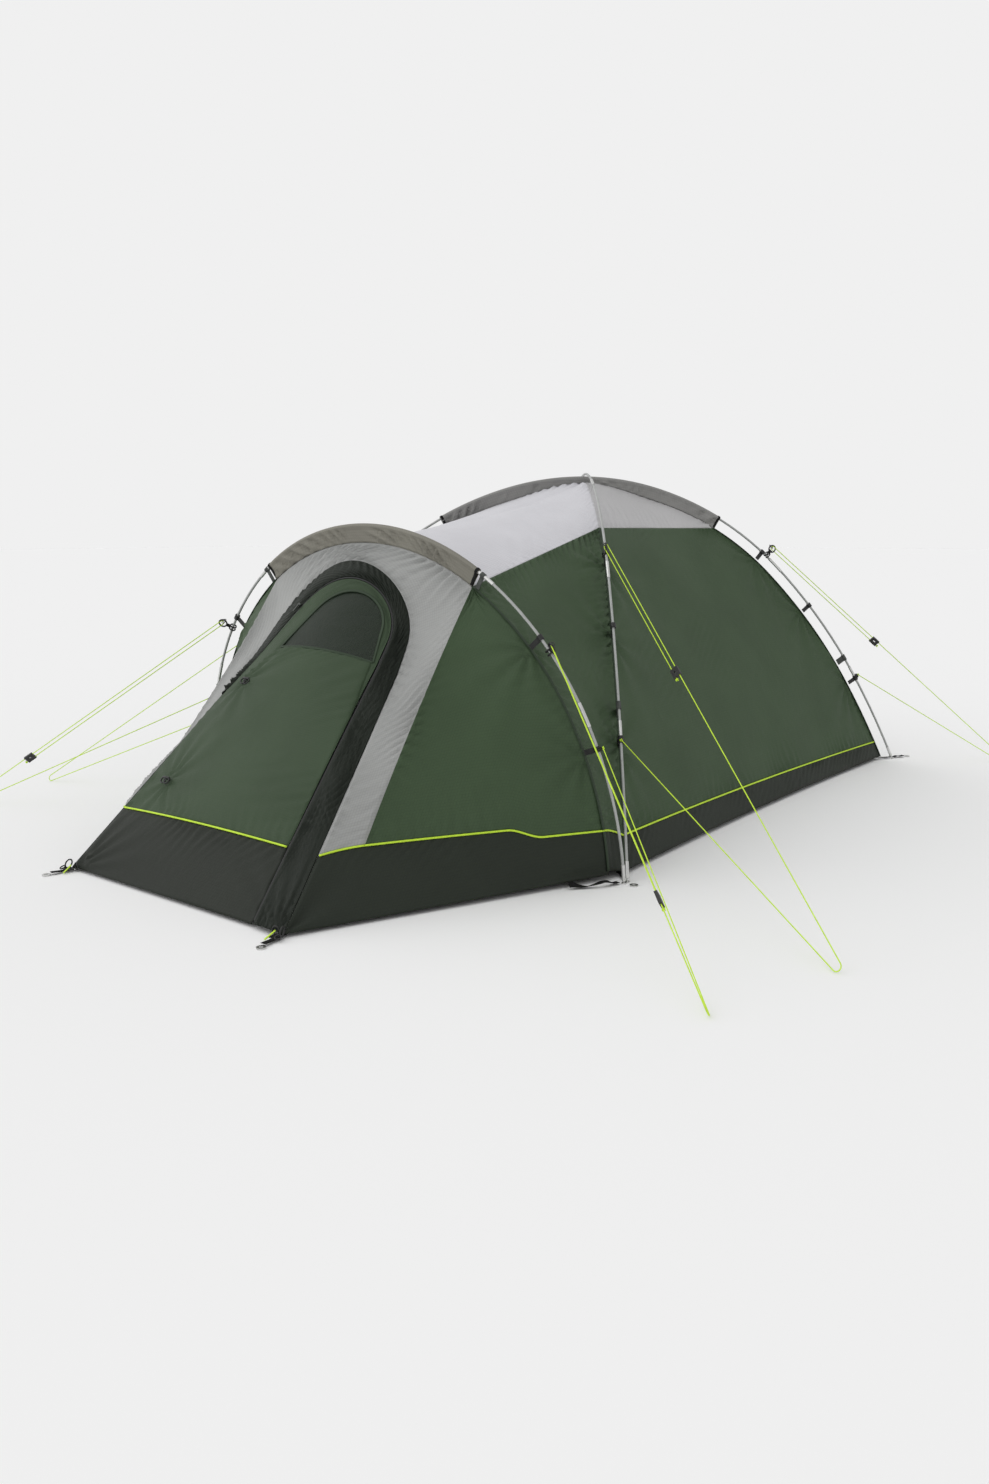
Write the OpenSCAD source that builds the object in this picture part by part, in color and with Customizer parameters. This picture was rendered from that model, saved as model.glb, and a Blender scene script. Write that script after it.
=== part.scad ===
// Two-person dome tent with a raked porch, two crossed dome poles and one porch arch pole.
// Front (porch) towards -Y, up is +Z, origin on the ground in the middle of the tent.

/* [Dome] */
// Distance between the left and right pole feet
dome_w = 1780; // [1700:10:1900]
// Distance between the front and rear pole feet
dome_l = 2200; // [2100:10:2300]
// Height of the pole crossing
dome_h = 1180; // [1100:10:1260]

/* [Porch] */
// How far the porch reaches in front of the dome poles
porch_depth = 890; // [840:10:950]
// Width of the porch at its front hem
porch_front_w = 920; // [880:10:960]
// Length of the porch arch from the ground to its top, along its own plane
porch_rise = 995; // [950:5:1040]
// Forward lean of the porch arch in degrees
porch_lean = 6; // [4:0.5:8]
// How far the porch front bows forward in its middle, as a share of the distance up the front
front_bow = 0.105; // [0.08:0.005:0.12]

/* [Poles] */
// Outer diameter of a glass fibre pole
pole_d = 8.5; // [7.9:0.1:9]
// Inner diameter of a pole
pole_bore = 5; // [4:0.1:5.5]
// Distance between a pole's centre and the fly fabric under it
fly_gap = 50; // [45:1:60]

/* [Fabric] */
// Thickness of a fabric panel
cloth = 1.5; // [1:0.1:2]
// Height of the dark skirt along the dome
skirt_h = 130; // [100:5:150]
// Height of the dark skirt along the porch
porch_skirt_h = 168; // [150:2:190]

/* [Door] */
// Radius of the arched zip at the door's top
door_r = 205; // [200:1:210]
// Radius of the zip cover's outer edge at the top
cover_r = 300; // [295:1:305]
// Height of the zip cover's arch centre up the sloping front
cover_q = 840; // [830:5:850]

/* [Guy lines] */
// Diameter of a guy line
guy_d = 3; // [2.5:0.1:3.5]
// Radius of the turn through a ring
turn_r = 7; // [6:0.5:8]
// Radius of the turn round a peg
peg_r = 12; // [10:1:15]

/* [Hidden] */
$fn = 48;

dome_y = porch_depth / 2;
arch_y = dome_y - dome_l / 2 - 18;
front_y = dome_y - dome_l / 2 - porch_depth;
hem_z = 10;
cross_gap = 8;
dome_span = norm([dome_w, dome_l]) / 2;
dome_turn = atan2(-dome_l, dome_w);

// A pole is a chain of arcs from its top to its foot: [share of the half length, relative curvature].
DOME_ARCS = [[0.158, 1], [0.308, 0.85], [0.308, 0.45], [0.226, 0.3]];
PORCH_ARCS = [[1 / 3, 1], [1 / 3, 0.87], [1 / 3, 0.74]];
// Fractions of the half length, measured up from the foot
roof_f = 0.695;
arch_roof_f = 0.683;
dome_clip_f = [0.215, 0.415, 0.575];
arch_clip_f = [0.265, 0.5];
strap_f = 0.27;

function total(v) = len(v) == 0 ? 0 : [for (x = v) 1] * v;
function first_n(v, n) = [for (i = [0:1:n - 1]) v[i]];
function arc_sum(arcs) = total([for (a = arcs) a[0] * a[1]]);
function shares(arcs) = [for (n = [0:len(arcs)]) total(first_n([for (a = arcs) a[0]], n))];
function turns(arcs, all) =
    [for (n = [0:len(arcs)]) all * total(first_n([for (a = arcs) a[0] * a[1]], n)) / arc_sum(arcs)];
function unit_r(arcs, i, all) = arc_sum(arcs) * 180 / (PI * all * arcs[i][1]);
function reach(arcs, all) = let (t = turns(arcs, all))
    total([for (i = [0:len(arcs) - 1]) unit_r(arcs, i, all) * (sin(t[i + 1]) - sin(t[i]))]);
function fall(arcs, all) = let (t = turns(arcs, all))
    total([for (i = [0:len(arcs) - 1]) unit_r(arcs, i, all) * (cos(t[i]) - cos(t[i + 1]))]);
// The total turn of half a pole whose height over half span is the wanted ratio
function find_turn(arcs, ratio, lo = 30, hi = 130, n = 36) = let (mid = (lo + hi) / 2)
    n == 0 ? mid : fall(arcs, mid) / reach(arcs, mid) < ratio
        ? find_turn(arcs, ratio, mid, hi, n - 1) : find_turn(arcs, ratio, lo, mid, n - 1);
function next_centres(r, t, c, i) = i == len(r) ? [] :
    let (p = c + (r[i - 1] - r[i]) * [sin(t[i]), cos(t[i])]) concat([p], next_centres(r, t, p, i + 1));
// [turns, radii, centres, shares, half length], with the top of the pole at [0, 0]
function make_pole(arcs, span, rise) = let (
    all = find_turn(arcs, rise / span),
    half = span / reach(arcs, all),
    t = turns(arcs, all),
    r = [for (i = [0:len(arcs) - 1]) half * unit_r(arcs, i, all)])
    [t, r, concat([[0, -r[0]]], next_centres(r, t, [0, -r[0]], 1)), shares(arcs), half];
function arc_index(p, a, i = 0) = i >= len(p[1]) - 1 || a <= p[3][i + 1] ? i : arc_index(p, a, i + 1);
function pole_angle(p, f) = let (a = 1 - f, i = arc_index(p, a))
    p[0][i] + (a - p[3][i]) * (p[0][i + 1] - p[0][i]) / (p[3][i + 1] - p[3][i]);
function pole_point(p, f, inset = 0) = let (i = arc_index(p, 1 - f), t = pole_angle(p, f))
    p[2][i] + (p[1][i] - inset) * [sin(t), cos(t)];

dome_pole = make_pole(DOME_ARCS, dome_span, dome_h);
arch_pole = make_pole(PORCH_ARCS, dome_w / 2, porch_rise);

// Points in the tent's frame on the dome ridge and the porch arch, a fraction f up from the foot
function dome_at(f, inset, side, end) = let (p = pole_point(dome_pole, f, inset))
    [side * p[0] * dome_w / 2 / dome_span, dome_y + end * p[0] * dome_l / 2 / dome_span, dome_h + p[1]];
function arch_at(f, inset, side) = let (p = pole_point(arch_pole, f, inset), v = porch_rise + p[1])
    [side * p[0], arch_y - v * sin(porch_lean), v * cos(porch_lean)];
function mix(a, b, t) = a + (b - a) * t;
function bump(t) = 4 * t * (1 - t);
function smooth(t) = let (x = min(1, max(0, t))) x * x * (3 - 2 * x);
// The fly comes closer to the dome poles where they cross.
function gap_at(f) = fly_gap - 26 * smooth((f - 0.842) / 0.158);

// The porch front slopes back from the hem to the top of the arch and bows forward in its middle.
// Places on it are [x, distance up the slope]; lift moves a place outwards.
arch_top = arch_at(1, fly_gap, 1);
rake = atan2(arch_top[2] - hem_z, arch_top[1] - front_y);
half_front = porch_front_w / 2;
// Angle from +X to where a line from a foot at [x, -c] touches an arch of radius r about the origin
function touch_angle(x, c, r) = atan2(-c, x) + acos(r / norm([x, c]));
function touch_point(foot, c, r) = let (a = touch_angle(foot[0] - c[0], c[1] - foot[1], r))
    c + r * [cos(a), sin(a)];
cover_side = touch_point([half_front, 0], [0, cover_q], cover_r);
function edge_half(q) = mix(half_front, cover_side[0], q / cover_side[1]);
function front_sink(x, q) = -front_bow * min(q, 0.9 * cover_side[1]) * pow(x / edge_half(q), 2);
function on_front(p, lift = 0) = let (h = lift + front_sink(p[0], p[1]))
    [p[0], front_y + p[1] * cos(rake) - h * sin(rake), hem_z + p[1] * sin(rake) + h * cos(rake)];
// An arched outline: t runs from foot a on the left over the arch about c to foot b on the right
function arched(t, a, b, c, r) = let (
    start = 180 - touch_angle(c[0] - a[0], c[1] - a[1], r),
    stop = touch_angle(b[0] - c[0], c[1] - b[1], r),
    turn = mix(start, stop, min(1, max(0, (t - 0.25) * 2))),
    p = c + r * [cos(turn), sin(turn)])
    t < 0.25 ? mix(a, p, t * 4) : t > 0.75 ? mix(b, p, 4 - t * 4) : p;

// ---- cloth ----
function face_normal(fn, k, u) = let (e = 0.01,
    dk = fn(min(k + e, 1), u) - fn(max(k - e, 0), u),
    du = fn(k, min(u + e, 1)) - fn(k, max(u - e, 0)), n = cross(dk, du)) n / norm(n);
function two(a, b, c, d) = [[a, b, c], [a, c, d]];
// A thin curved panel: fn(k, u) gives its outer face for k and u from 0 to 1
module panel(fn, nk, nu, ks = [0, 1], us = [0, 1]) {
    count = (nk + 1) * (nu + 1);
    places = [for (i = [0:nk]) for (j = [0:nu]) [mix(ks[0], ks[1], i / nk), mix(us[0], us[1], j / nu)]];
    face = [for (p = places) fn(p[0], p[1])];
    back = [for (i = [0:count - 1]) face[i] - cloth * face_normal(fn, places[i][0], places[i][1])];
    function at(i, j, s) = s * count + i * (nu + 1) + j;
    tris = [
        for (i = [0:nk - 1]) for (j = [0:nu - 1]) each concat(
            two(at(i, j, 0), at(i, j + 1, 0), at(i + 1, j + 1, 0), at(i + 1, j, 0)),
            two(at(i, j, 1), at(i + 1, j, 1), at(i + 1, j + 1, 1), at(i, j + 1, 1))),
        for (i = [0:nk - 1]) each concat(
            two(at(i, 0, 0), at(i + 1, 0, 0), at(i + 1, 0, 1), at(i, 0, 1)),
            two(at(i + 1, nu, 0), at(i, nu, 0), at(i, nu, 1), at(i + 1, nu, 1))),
        for (j = [0:nu - 1]) each concat(
            two(at(0, j + 1, 0), at(0, j, 0), at(0, j, 1), at(0, j + 1, 1)),
            two(at(nk, j, 0), at(nk, j + 1, 0), at(nk, j + 1, 1), at(nk, j, 1)))];
    polyhedron(points = concat(face, back), faces = tris);
}

// Fly surfaces of the dome, k from the hem to the top and u from one ridge to the next
side_sag = 38;
foot_f = 0.02;
top_f = 0.985;
side_cloth = function (f, u) mix(dome_at(f, gap_at(f), 1, -1), dome_at(f, gap_at(f), 1, 1), u)
    - [side_sag * bump(u) * (0.55 + 0.45 * sin(180 * f)), 0, 0] * min(1, (1 - f) * 3);
rear_cloth = function (f, u) mix(dome_at(f, gap_at(f), 1, 1), dome_at(f, gap_at(f), -1, 1), u)
    - [0, side_sag * bump(u) * (0.55 + 0.45 * sin(180 * f)), 0] * min(1, (1 - f) * 3);
link_cloth = function (k, u) mix(arch_at(mix(foot_f, arch_roof_f, k), fly_gap, 1),
    dome_at(mix(foot_f, roof_f, k), fly_gap, 1, -1), u) - [22, 0, 0] * bump(u) * sin(180 * k);
roof_cloth = function (s, u) let (a = abs(1 - 2 * s), side = s < 0.5 ? 1 : -1, f = mix(1, roof_f, a))
    mix(arch_at(mix(1, arch_roof_f, a), fly_gap, side), dome_at(f, gap_at(f), side, -1), u)
    - [0, 0, 30] * bump(u) * (1 - a * a);
// Height fraction of the piping along the dome and porch hems
skirt_f = skirt_h / dome_h * 0.62;
side_skirt = function (u) mix(skirt_f * 1.1, skirt_f * 0.85, u);

// Outline of the zip cover and outer edge of the grey band, k from the hem to the top centre
straight_k = 0.6;
arch_foot_at = arch_at(0, fly_gap, 1);
band_foot = mix(on_front([half_front, 0]), [arch_foot_at[0], arch_foot_at[1], hem_z], 0.14);
function cover_edge(k) = k <= straight_k
    ? on_front(mix([half_front, 0], cover_side, k / straight_k))
    : let (a = mix(atan2(cover_side[1] - cover_q, cover_side[0]), 90, (k - straight_k) / (1 - straight_k)))
        on_front([cos(a) * cover_r, cover_q + sin(a) * cover_r]);
function band_edge(k) = k <= straight_k
    ? let (t = k / straight_k) mix(band_foot, arch_at(arch_roof_f, fly_gap, 1), t) - [26, -14, 0] * bump(t)
    : arch_at(mix(arch_roof_f, 1, (k - straight_k) / (1 - straight_k)), fly_gap, 1);
band_cloth = function (k, u) mix(cover_edge(k), band_edge(k), u) - [6, -12, 0] * bump(u) * sin(180 * k);
door_split = porch_skirt_h / sin(rake);
band_skirt_k = [door_split / cover_side[1] * straight_k,
    porch_skirt_h / arch_at(arch_roof_f, fly_gap, 1)[2] * straight_k];
band_skirt = function (u) mix(band_skirt_k[0], band_skirt_k[1], u);
porch_side = function (k, u) mix(band_edge(k * straight_k),
    arch_at(mix(0.012, arch_roof_f, k), fly_gap, 1), u) - [26, -10, 0] * bump(u) * sin(180 * k);
porch_skirt = function (u) mix(porch_skirt_h, skirt_h + 10, smooth((u - 0.6) / 0.15))
    / mix(band_edge(straight_k)[2], arch_pole[4] * arch_roof_f, u);

// Upper and lower parts of a cloth split along its piping line
module above(fn, line, nk, nu, top, us) {
    part = function (k, u) fn(mix(line(u) + 0.004, top, k), u);
    panel(part, nk, nu, us = us);
}
module below(fn, line, nk, nu, us, low = 0) {
    part = function (k, u) fn(mix(low, line(u) - 0.004, k), u);
    panel(part, nk, nu, us = us);
}
module flipped(both = false) {
    if (both) children();
    mirror([1, 0, 0]) children();
}
inner_u = [0.004, 0.996];

module roof_front() { color("lightgray") panel(roof_cloth, 16, 6, [0.006, 0.994], [0.008, 0.985]); }
module roof_right() { color("lightgray") panel(side_cloth, 7, 8, [roof_f + 0.002, top_f], [0.01, 0.99]); }
module roof_left() { flipped() roof_right(); }
module roof_rear() { color("lightgray") panel(rear_cloth, 7, 8, [roof_f + 0.002, top_f], [0.01, 0.99]); }
module side_right() { color("darkolivegreen") above(side_cloth, side_skirt, 9, 8, roof_f - 0.002, inner_u); }
module side_left() { flipped() side_right(); }
module rear_panel() {
    line = function (u) skirt_f * 0.85;
    color("darkolivegreen") above(rear_cloth, line, 9, 8, roof_f - 0.002, inner_u);
}
module link_right() { color("darkolivegreen") panel(link_cloth, 12, 4, [0, 0.99], [0.012, 0.985]); }
module link_left() { flipped() link_right(); }
module porch_side_right() {
    color("darkolivegreen") above(porch_side, porch_skirt, 9, 8, 0.985, [0.008, 0.992]);
}
module porch_side_left() { flipped() porch_side_right(); }
module porch_band() {
    color("darkgray") flipped(true) above(band_cloth, band_skirt, 18, 4, 0.999, [0.02, 0.985]);
}
module skirt_right() {
    color("dimgray") below(side_cloth, side_skirt, 2, 8, inner_u, foot_f);
}
module skirt_left() { flipped() skirt_right(); }
module skirt_rear() {
    line = function (u) skirt_f * 0.85;
    color("dimgray") below(rear_cloth, line, 2, 8, inner_u, foot_f);
}
module skirt_porch_right() {
    color("dimgray") {
        below(porch_side, porch_skirt, 2, 8, [0.012, 0.992]);
        below(band_cloth, band_skirt, 2, 2, [0.03, 0.97]);
    }
}
module skirt_porch_left() { flipped() skirt_porch_right(); }

// A thin round cord along the points of a path, swept with one fixed cross direction
module swept(path, d, across, sides = 8) {
    n = len(path);
    function way(i) = let (v = path[min(i + 1, n - 1)] - path[max(i - 1, 0)]) v / norm(v);
    rings = [for (i = [0:n - 1])
        let (t = way(i), a = across - (across * t) * t, x = a / norm(a), y = cross(t, x))
        for (j = [0:sides - 1]) path[i] + d / 2 * (cos(360 * j / sides) * x + sin(360 * j / sides) * y)];
    walls = [for (i = [0:n - 2]) for (j = [0:sides - 1]) let (k = (j + 1) % sides)
        each two(i * sides + j, (i + 1) * sides + j, (i + 1) * sides + k, i * sides + k)];
    ends = [[for (j = [0:sides - 1]) j], [for (j = [sides - 1:-1:0]) (n - 1) * sides + j]];
    polyhedron(points = rings, faces = concat(walls, ends));
}
piping_d = 4;
piping_out = 3.5;
module piping_line(fn, line, n, us, out) {
    path = [for (i = [0:n]) let (u = mix(us[0], us[1], i / n)) fn(line(u), u) + piping_out * out];
    swept(path, piping_d, [0, 0, 1], 6);
}
module fly_piping() {
    rear = function (u) skirt_f * 0.85;
    color("greenyellow") {
        flipped(true) {
            piping_line(side_cloth, side_skirt, 8, [0.01, 0.99], [0.9, 0, 0.4]);
            piping_line(porch_side, porch_skirt, 16, [0.015, 0.985], [0.7, -0.7, 0.2]);
            piping_line(band_cloth, band_skirt, 2, [0.05, 0.95], [0.5, -0.7, 0.5]);
        }
        piping_line(rear_cloth, rear, 8, [0.01, 0.99], [0, 0.9, 0.4]);
    }
}

// ---- poles ----
module dome_plane() {
    for (s = [0, 1]) translate([0, dome_y, dome_h]) rotate([0, 0, dome_turn + s * 180]) children();
}
module arch_plane() {
    translate([0, arch_y, 0]) rotate([porch_lean, 0, 0]) translate([0, 0, porch_rise])
        for (s = [0, 1]) mirror([s, 0, 0]) children();
}
// One arc of a pole's profile from angle a to angle b, about arc i's centre
module arc_run(p, i, a, b) {
    translate([p[2][i][0], 0, p[2][i][1]]) rotate([90, 0, 0]) rotate([0, 0, 90 - b])
        rotate_extrude(angle = b - a, $fn = 96) translate([p[1][i], 0]) children();
}
module tube_outline(outer, bore) {
    difference() {
        circle(d = outer);
        circle(d = bore);
    }
}
joint_play = 0.02;
upper_foot = 0.0018;
lower_foot = 0.0104;
arch_foot = 0.006;
module pole_half(p, foot) {
    for (i = [0:len(p[1]) - 1]) {
        last = i == len(p[1]) - 1;
        a = i == 0 ? 0 : p[0][i] + joint_play;
        b = last ? pole_angle(p, foot) : p[0][i + 1] - joint_play;
        arc_run(p, i, a, b) tube_outline(pole_d, pole_bore);
    }
}
// Something placed on a pole: +Z outwards from the curve, +X along the pole towards its foot
module on_pole(p, f) {
    c = pole_point(p, f);
    translate([c[0], 0, c[1]]) rotate([0, pole_angle(p, f), 0]) children();
}
module raised() { translate([0, 0, cross_gap]) dome_plane() children(); }
module lowered() { mirror([1, 0, 0]) translate([0, 0, -cross_gap]) dome_plane() children(); }
module dome_pole_upper() { color("silver") raised() pole_half(dome_pole, upper_foot); }
module dome_pole_lower() { color("silver") lowered() pole_half(dome_pole, lower_foot); }
module porch_pole() { color("silver") arch_plane() pole_half(arch_pole, arch_foot); }

ferrule_l = 72;
module ferrule(p, i) {
    reach_deg = ferrule_l / 2 / p[1][i] * 180 / PI;
    arc_run(p, i, p[0][i + 1] - reach_deg, p[0][i + 1] + reach_deg) tube_outline(11, 9.2);
}
module pole_ferrules() {
    color("gainsboro") {
        for (i = [0:2]) {
            raised() ferrule(dome_pole, i);
            lowered() ferrule(dome_pole, i);
        }
        for (i = [0:1]) arch_plane() ferrule(arch_pole, i);
    }
}
module shock_half(p) {
    for (i = [0:len(p[1]) - 1]) {
        last = i == len(p[1]) - 1;
        b = last ? pole_angle(p, 0.05) : p[0][i + 1] - joint_play;
        arc_run(p, i, p[0][i] + joint_play, b) circle(d = 3);
    }
}
module shock_cords() {
    color("white") {
        raised() shock_half(dome_pole);
        lowered() shock_half(dome_pole);
        arch_plane() shock_half(arch_pole);
    }
}
tip_l = 48;
module pole_tip(p, foot) {
    i = len(p[1]) - 1;
    b = pole_angle(p, foot);
    arc_run(p, i, b - tip_l / p[1][i] * 180 / PI, b) tube_outline(11, 9.2);
}
module pole_tips() {
    color("gainsboro") {
        raised() pole_tip(dome_pole, upper_foot);
        lowered() pole_tip(dome_pole, lower_foot);
        arch_plane() pole_tip(arch_pole, arch_foot);
    }
}

// ---- sleeves, clips and straps on the poles ----
// A tube of cloth round a pole, with a flat web down to the fly from arc number web_from on
module sleeve_half(p, f, drop, web_from) {
    for (i = [0:arc_index(p, 1 - f)]) {
        last = i == arc_index(p, 1 - f);
        b = last ? pole_angle(p, f) : p[0][i + 1] - joint_play;
        arc_run(p, i, p[0][i] + joint_play, b) {
            tube_outline(22, 18.6);
            if (i >= web_from) translate([-drop, -0.8]) square([drop - 9.6, 1.6]);
        }
    }
}
module dome_sleeve() { color("gray") lowered() sleeve_half(dome_pole, roof_f, fly_gap - cross_gap - 3, 1); }
module porch_sleeve() {
    color("rosybrown") arch_plane() sleeve_half(arch_pole, arch_roof_f, fly_gap - 3, 0);
}

module hook(width, drop, wall = 2.6) {
    rotate([0, 90, 0]) difference() {
        cylinder(d = 12 + 2 * wall, h = width, center = true);
        cylinder(d = 12, h = width + 2, center = true);
    }
    translate([-width / 2, -1.2, -drop]) cube([width, 2.4, drop - 6 - wall / 2]);
}
module pole_clips() {
    color("black") {
        for (f = dome_clip_f) {
            raised() on_pole(dome_pole, f) hook(16, fly_gap + cross_gap - 5);
            lowered() on_pole(dome_pole, f) hook(16, fly_gap - cross_gap - 6);
        }
        for (f = arch_clip_f) arch_plane() on_pole(arch_pole, f) hook(16, fly_gap - 4);
        for (n = [0:5]) guy_frame(n) guy_hardware(n);
    }
}
module pole_straps() {
    color("slategray") {
        raised() on_pole(dome_pole, strap_f) hook(25, fly_gap + cross_gap - 5, 1.4);
        lowered() on_pole(dome_pole, strap_f) hook(25, fly_gap - cross_gap - 6, 1.4);
    }
    color("black") arch_plane() on_pole(arch_pole, arch_roof_f - 0.012) hook(14, fly_gap - 4, 1.8);
}

// ---- ground hardware ----
foot_x = dome_w / 2;
foot_front = dome_y - dome_l / 2;
foot_rear = dome_y + dome_l / 2;
module foot_pin(p, foot) {
    on_pole(p, foot) rotate([0, -90, 0]) translate([0, 0, -10]) cylinder(d = 4, h = 26);
}
module foot_block(x, y) { translate([x, y, 0]) cylinder(d = 13, h = 4); }
module ring_pins() {
    color("silver") {
        difference() {
            union() {
                raised() foot_pin(dome_pole, upper_foot);
                lowered() foot_pin(dome_pole, lower_foot);
                arch_plane() foot_pin(arch_pole, arch_foot);
            }
            translate([-1500, -2500, -50]) cube([3000, 5000, 50.5]);
        }
        for (s = [-1, 1]) {
            for (y = [foot_front, foot_rear, arch_y]) foot_block(s * foot_x, y);
            translate([s * foot_x - 3, arch_y, 0]) cube([6, foot_front - arch_y, 4]);
        }
    }
}
eyelet_y = 1623;
eyelet_r = 12;
module strap(x, y, turn, l, z = 4.4) {
    translate([x, y, z]) rotate([0, 0, turn]) translate([0, -10, 0]) cube([l, 20, 1.6]);
}
module corner_webbing() {
    color("black") for (s = [0, 1]) mirror([s, 0, 0]) {
        strap(foot_x - 70, foot_rear - 72, 46, 88);
        strap(foot_x - 2, foot_rear + 9, 62, 54);
        strap(foot_x - 62, foot_front + 55, -41, 60);
        strap(foot_x - 14, arch_y - 12, -118, 150);
        strap(half_front - 16, front_y + 24, -77, 92);
    }
}
module strap_buckles() {
    color("dimgray") for (s = [0, 1]) mirror([s, 0, 0])
        translate([half_front - 10, front_y - 6, 6.4]) rotate([0, 0, -77]) difference() {
            translate([0, -15, 0]) cube([22, 30, 3]);
            for (x = [4, 13]) translate([x, -11, -1]) cube([5, 22, 5]);
        }
}
module eyelet(x, y) {
    translate([x, y, 0]) difference() {
        cylinder(r = eyelet_r, h = 4);
        translate([0, 0, -1]) cylinder(r = 6, h = 6);
    }
}
module peg_eyelets() {
    color("silver") for (s = [-1, 1]) {
        eyelet(s * (half_front + 8), -eyelet_y);
        eyelet(s * (foot_x + 35), eyelet_y);
        eyelet(s * (foot_x + 32), arch_y);
    }
}

// ---- porch door ----
door_c = [40, cover_q + 28];
door_right = half_front - 118;
door_turn_q = 640;
function door_touch() = touch_point([door_right, 0], door_c, door_r);
function door_left_x(q) = mix(2 - half_front, 13 - edge_half(door_turn_q), q / door_turn_q);
function door_right_x(q) = mix(door_right, door_touch()[0], q / door_touch()[1]);
// The door's upper edge, from its left side at door_turn_q over the top to its right side at foot
function door_edge(t, grow, foot = 0) = arched(t, [door_left_x(door_turn_q) - grow, door_turn_q],
    [door_right_x(foot) + grow, foot], door_c, door_r + grow);
window_low = [[-110, 815], [235, 815]];
function window_edge(t, grow) = arched(t, window_low[0] - [grow, 0], window_low[1] + [grow, 0],
    [80, 895], 132 + grow);
function body_top(u) = let (left = window_low[0] - [0, 1], right = window_low[1] - [3, 1])
    u < 0.3 ? mix([door_left_x(door_turn_q), door_turn_q - 1], left, u / 0.3)
    : u > 0.7 ? mix([door_right_x(door_turn_q) - 4, door_turn_q - 1], right, (1 - u) / 0.3)
    : mix(left, right, (u - 0.3) / 0.4);
function door_row(q, u) = [mix(door_left_x(q), door_right_x(q) - 1.5, u), q];
module door_panel() {
    body = function (k, u) on_front(mix(door_row(door_split, u), body_top(u), k));
    border = function (k, u) on_front(mix(window_edge(u, 0), door_edge(u, -1.5, door_turn_q), k));
    color("darkolivegreen") {
        panel(body, 6, 20);
        panel(border, 2, 32, us = [0.01, 0.99]);
    }
}
module door_window() {
    film = function (k, u) on_front(
        mix(mix(window_low[0] - [8, 10], window_low[1] + [8, -10], u), window_edge(u, 8), k), -cloth - 0.9);
    color("black") panel(film, 3, 32, us = [0.01, 0.99]);
}
module door_skirt() {
    row = function (k, u) on_front(door_row(mix(0, door_split - 0.5, k), u));
    color("dimgray") panel(row, 2, 10);
}
zip_w = 5;
module zip_cover() {
    left = [3 - edge_half(door_turn_q), door_turn_q];
    strip = function (k, u) on_front(mix(door_edge(u, zip_w + 0.8),
        arched(u, left, [half_front - 2, 0], [0, cover_q], cover_r - 2), k));
    color("darkslategray") panel(strip, 3, 40, us = [0.01, 1]);
}
module door_zip() {
    strip = function (k, u) on_front(door_edge(u, mix(0.3, zip_w, k)), 0.3);
    color("black") panel(strip, 1, 40, us = [0.01, 0.997]);
}
module zip_runner() {
    translate([-2, -6, 0]) cube([10, 12, 5]);
    translate([1, -2, 5]) cube([4, 4, 3]);
    translate([1.5, -26, 5.6]) cube([3, 27, 2]);
}
// The door's zip runner turns about the centre of a circle through three places above the arched zip.
slide_points = [for (t = [0.25, 0.5, 0.75]) on_front(door_edge(t, zip_w / 2), 7)];
function circle_centre(a, b, c) = let (u = b - a, v = c - a, w = cross(u, v))
    a + (cross(w, u) * (v * v) + cross(v, w) * (u * u)) / (2 * w * w);
module door_zip_slider() {
    c = circle_centre(slide_points[0], slide_points[1], slide_points[2]);
    w = cross(slide_points[2] - slide_points[0], slide_points[1] - slide_points[0]);
    z = w / norm(w);
    r = norm(slide_points[0] - c);
    x = (slide_points[0] - c) / r;
    y = cross(z, x);
    color("silver") multmatrix([for (i = [0:2]) [x[i], y[i], z[i], c[i]]])
        translate([r, 0]) mirror([0, 1, 0]) zip_runner();
}
// Something on the porch front: +Y up the slope, +Z outwards
module beside_front(p, lift) {
    up = (front_sink(p[0], p[1] + 1) - front_sink(p[0], p[1] - 1)) / 2;
    across = (front_sink(p[0] + 1, p[1]) - front_sink(p[0] - 1, p[1])) / 2;
    translate(on_front(p, lift)) rotate([rake, 0, 0]) rotate([atan(up), -atan(across), 0]) children();
}
module toggle(p) {
    beside_front(p, cloth + 0.6) {
        rotate([0, 90, 0]) translate([-4, 0, -16]) cylinder(d = 7, h = 32);
        translate([-3, -9, 0]) cube([6, 18, 1.5]);
    }
}
module door_toggles() {
    color("darkgreen") {
        toggle([-281, 332]);
        toggle([-188, 695]);
    }
}

// ---- inner tent ----
in_w = [760, 420];
in_l = [995, 500];
in_z = [60, 800];
in_top = 1030;
in_rake = atan2(in_z[1] - in_z[0], in_l[0] - in_l[1]);
in_slope = norm([in_z[1] - in_z[0], in_l[0] - in_l[1]]);
in_door_r = 265;
in_door_q = [40, 430];
module wall_plane() {
    translate([0, dome_y - in_l[0], in_z[0]]) rotate([in_rake, 0, 0]) children();
}
module wall_shape(gap = 3) {
    low = in_w[0] - gap;
    high = in_w[1] - gap;
    polygon([[-low, 2], [low, 2], [high, in_slope - 2], [-high, in_slope - 2]]);
}
module inner_door_shape(grow = 0) {
    hull() {
        translate([0, in_door_q[1]]) circle(r = in_door_r + grow, $fn = 96);
        translate([-in_door_r - 55 - grow, in_door_q[0] - grow]) square([2 * (in_door_r + 55 + grow), 1]);
    }
}
module inner_front() {
    color("whitesmoke") wall_plane() linear_extrude(cloth) difference() {
        wall_shape();
        inner_door_shape(6);
    }
}
module inner_rear() {
    color("whitesmoke") translate([0, 2 * dome_y, 0]) mirror([0, 1, 0]) wall_plane()
        linear_extrude(cloth) wall_shape();
}
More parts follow.
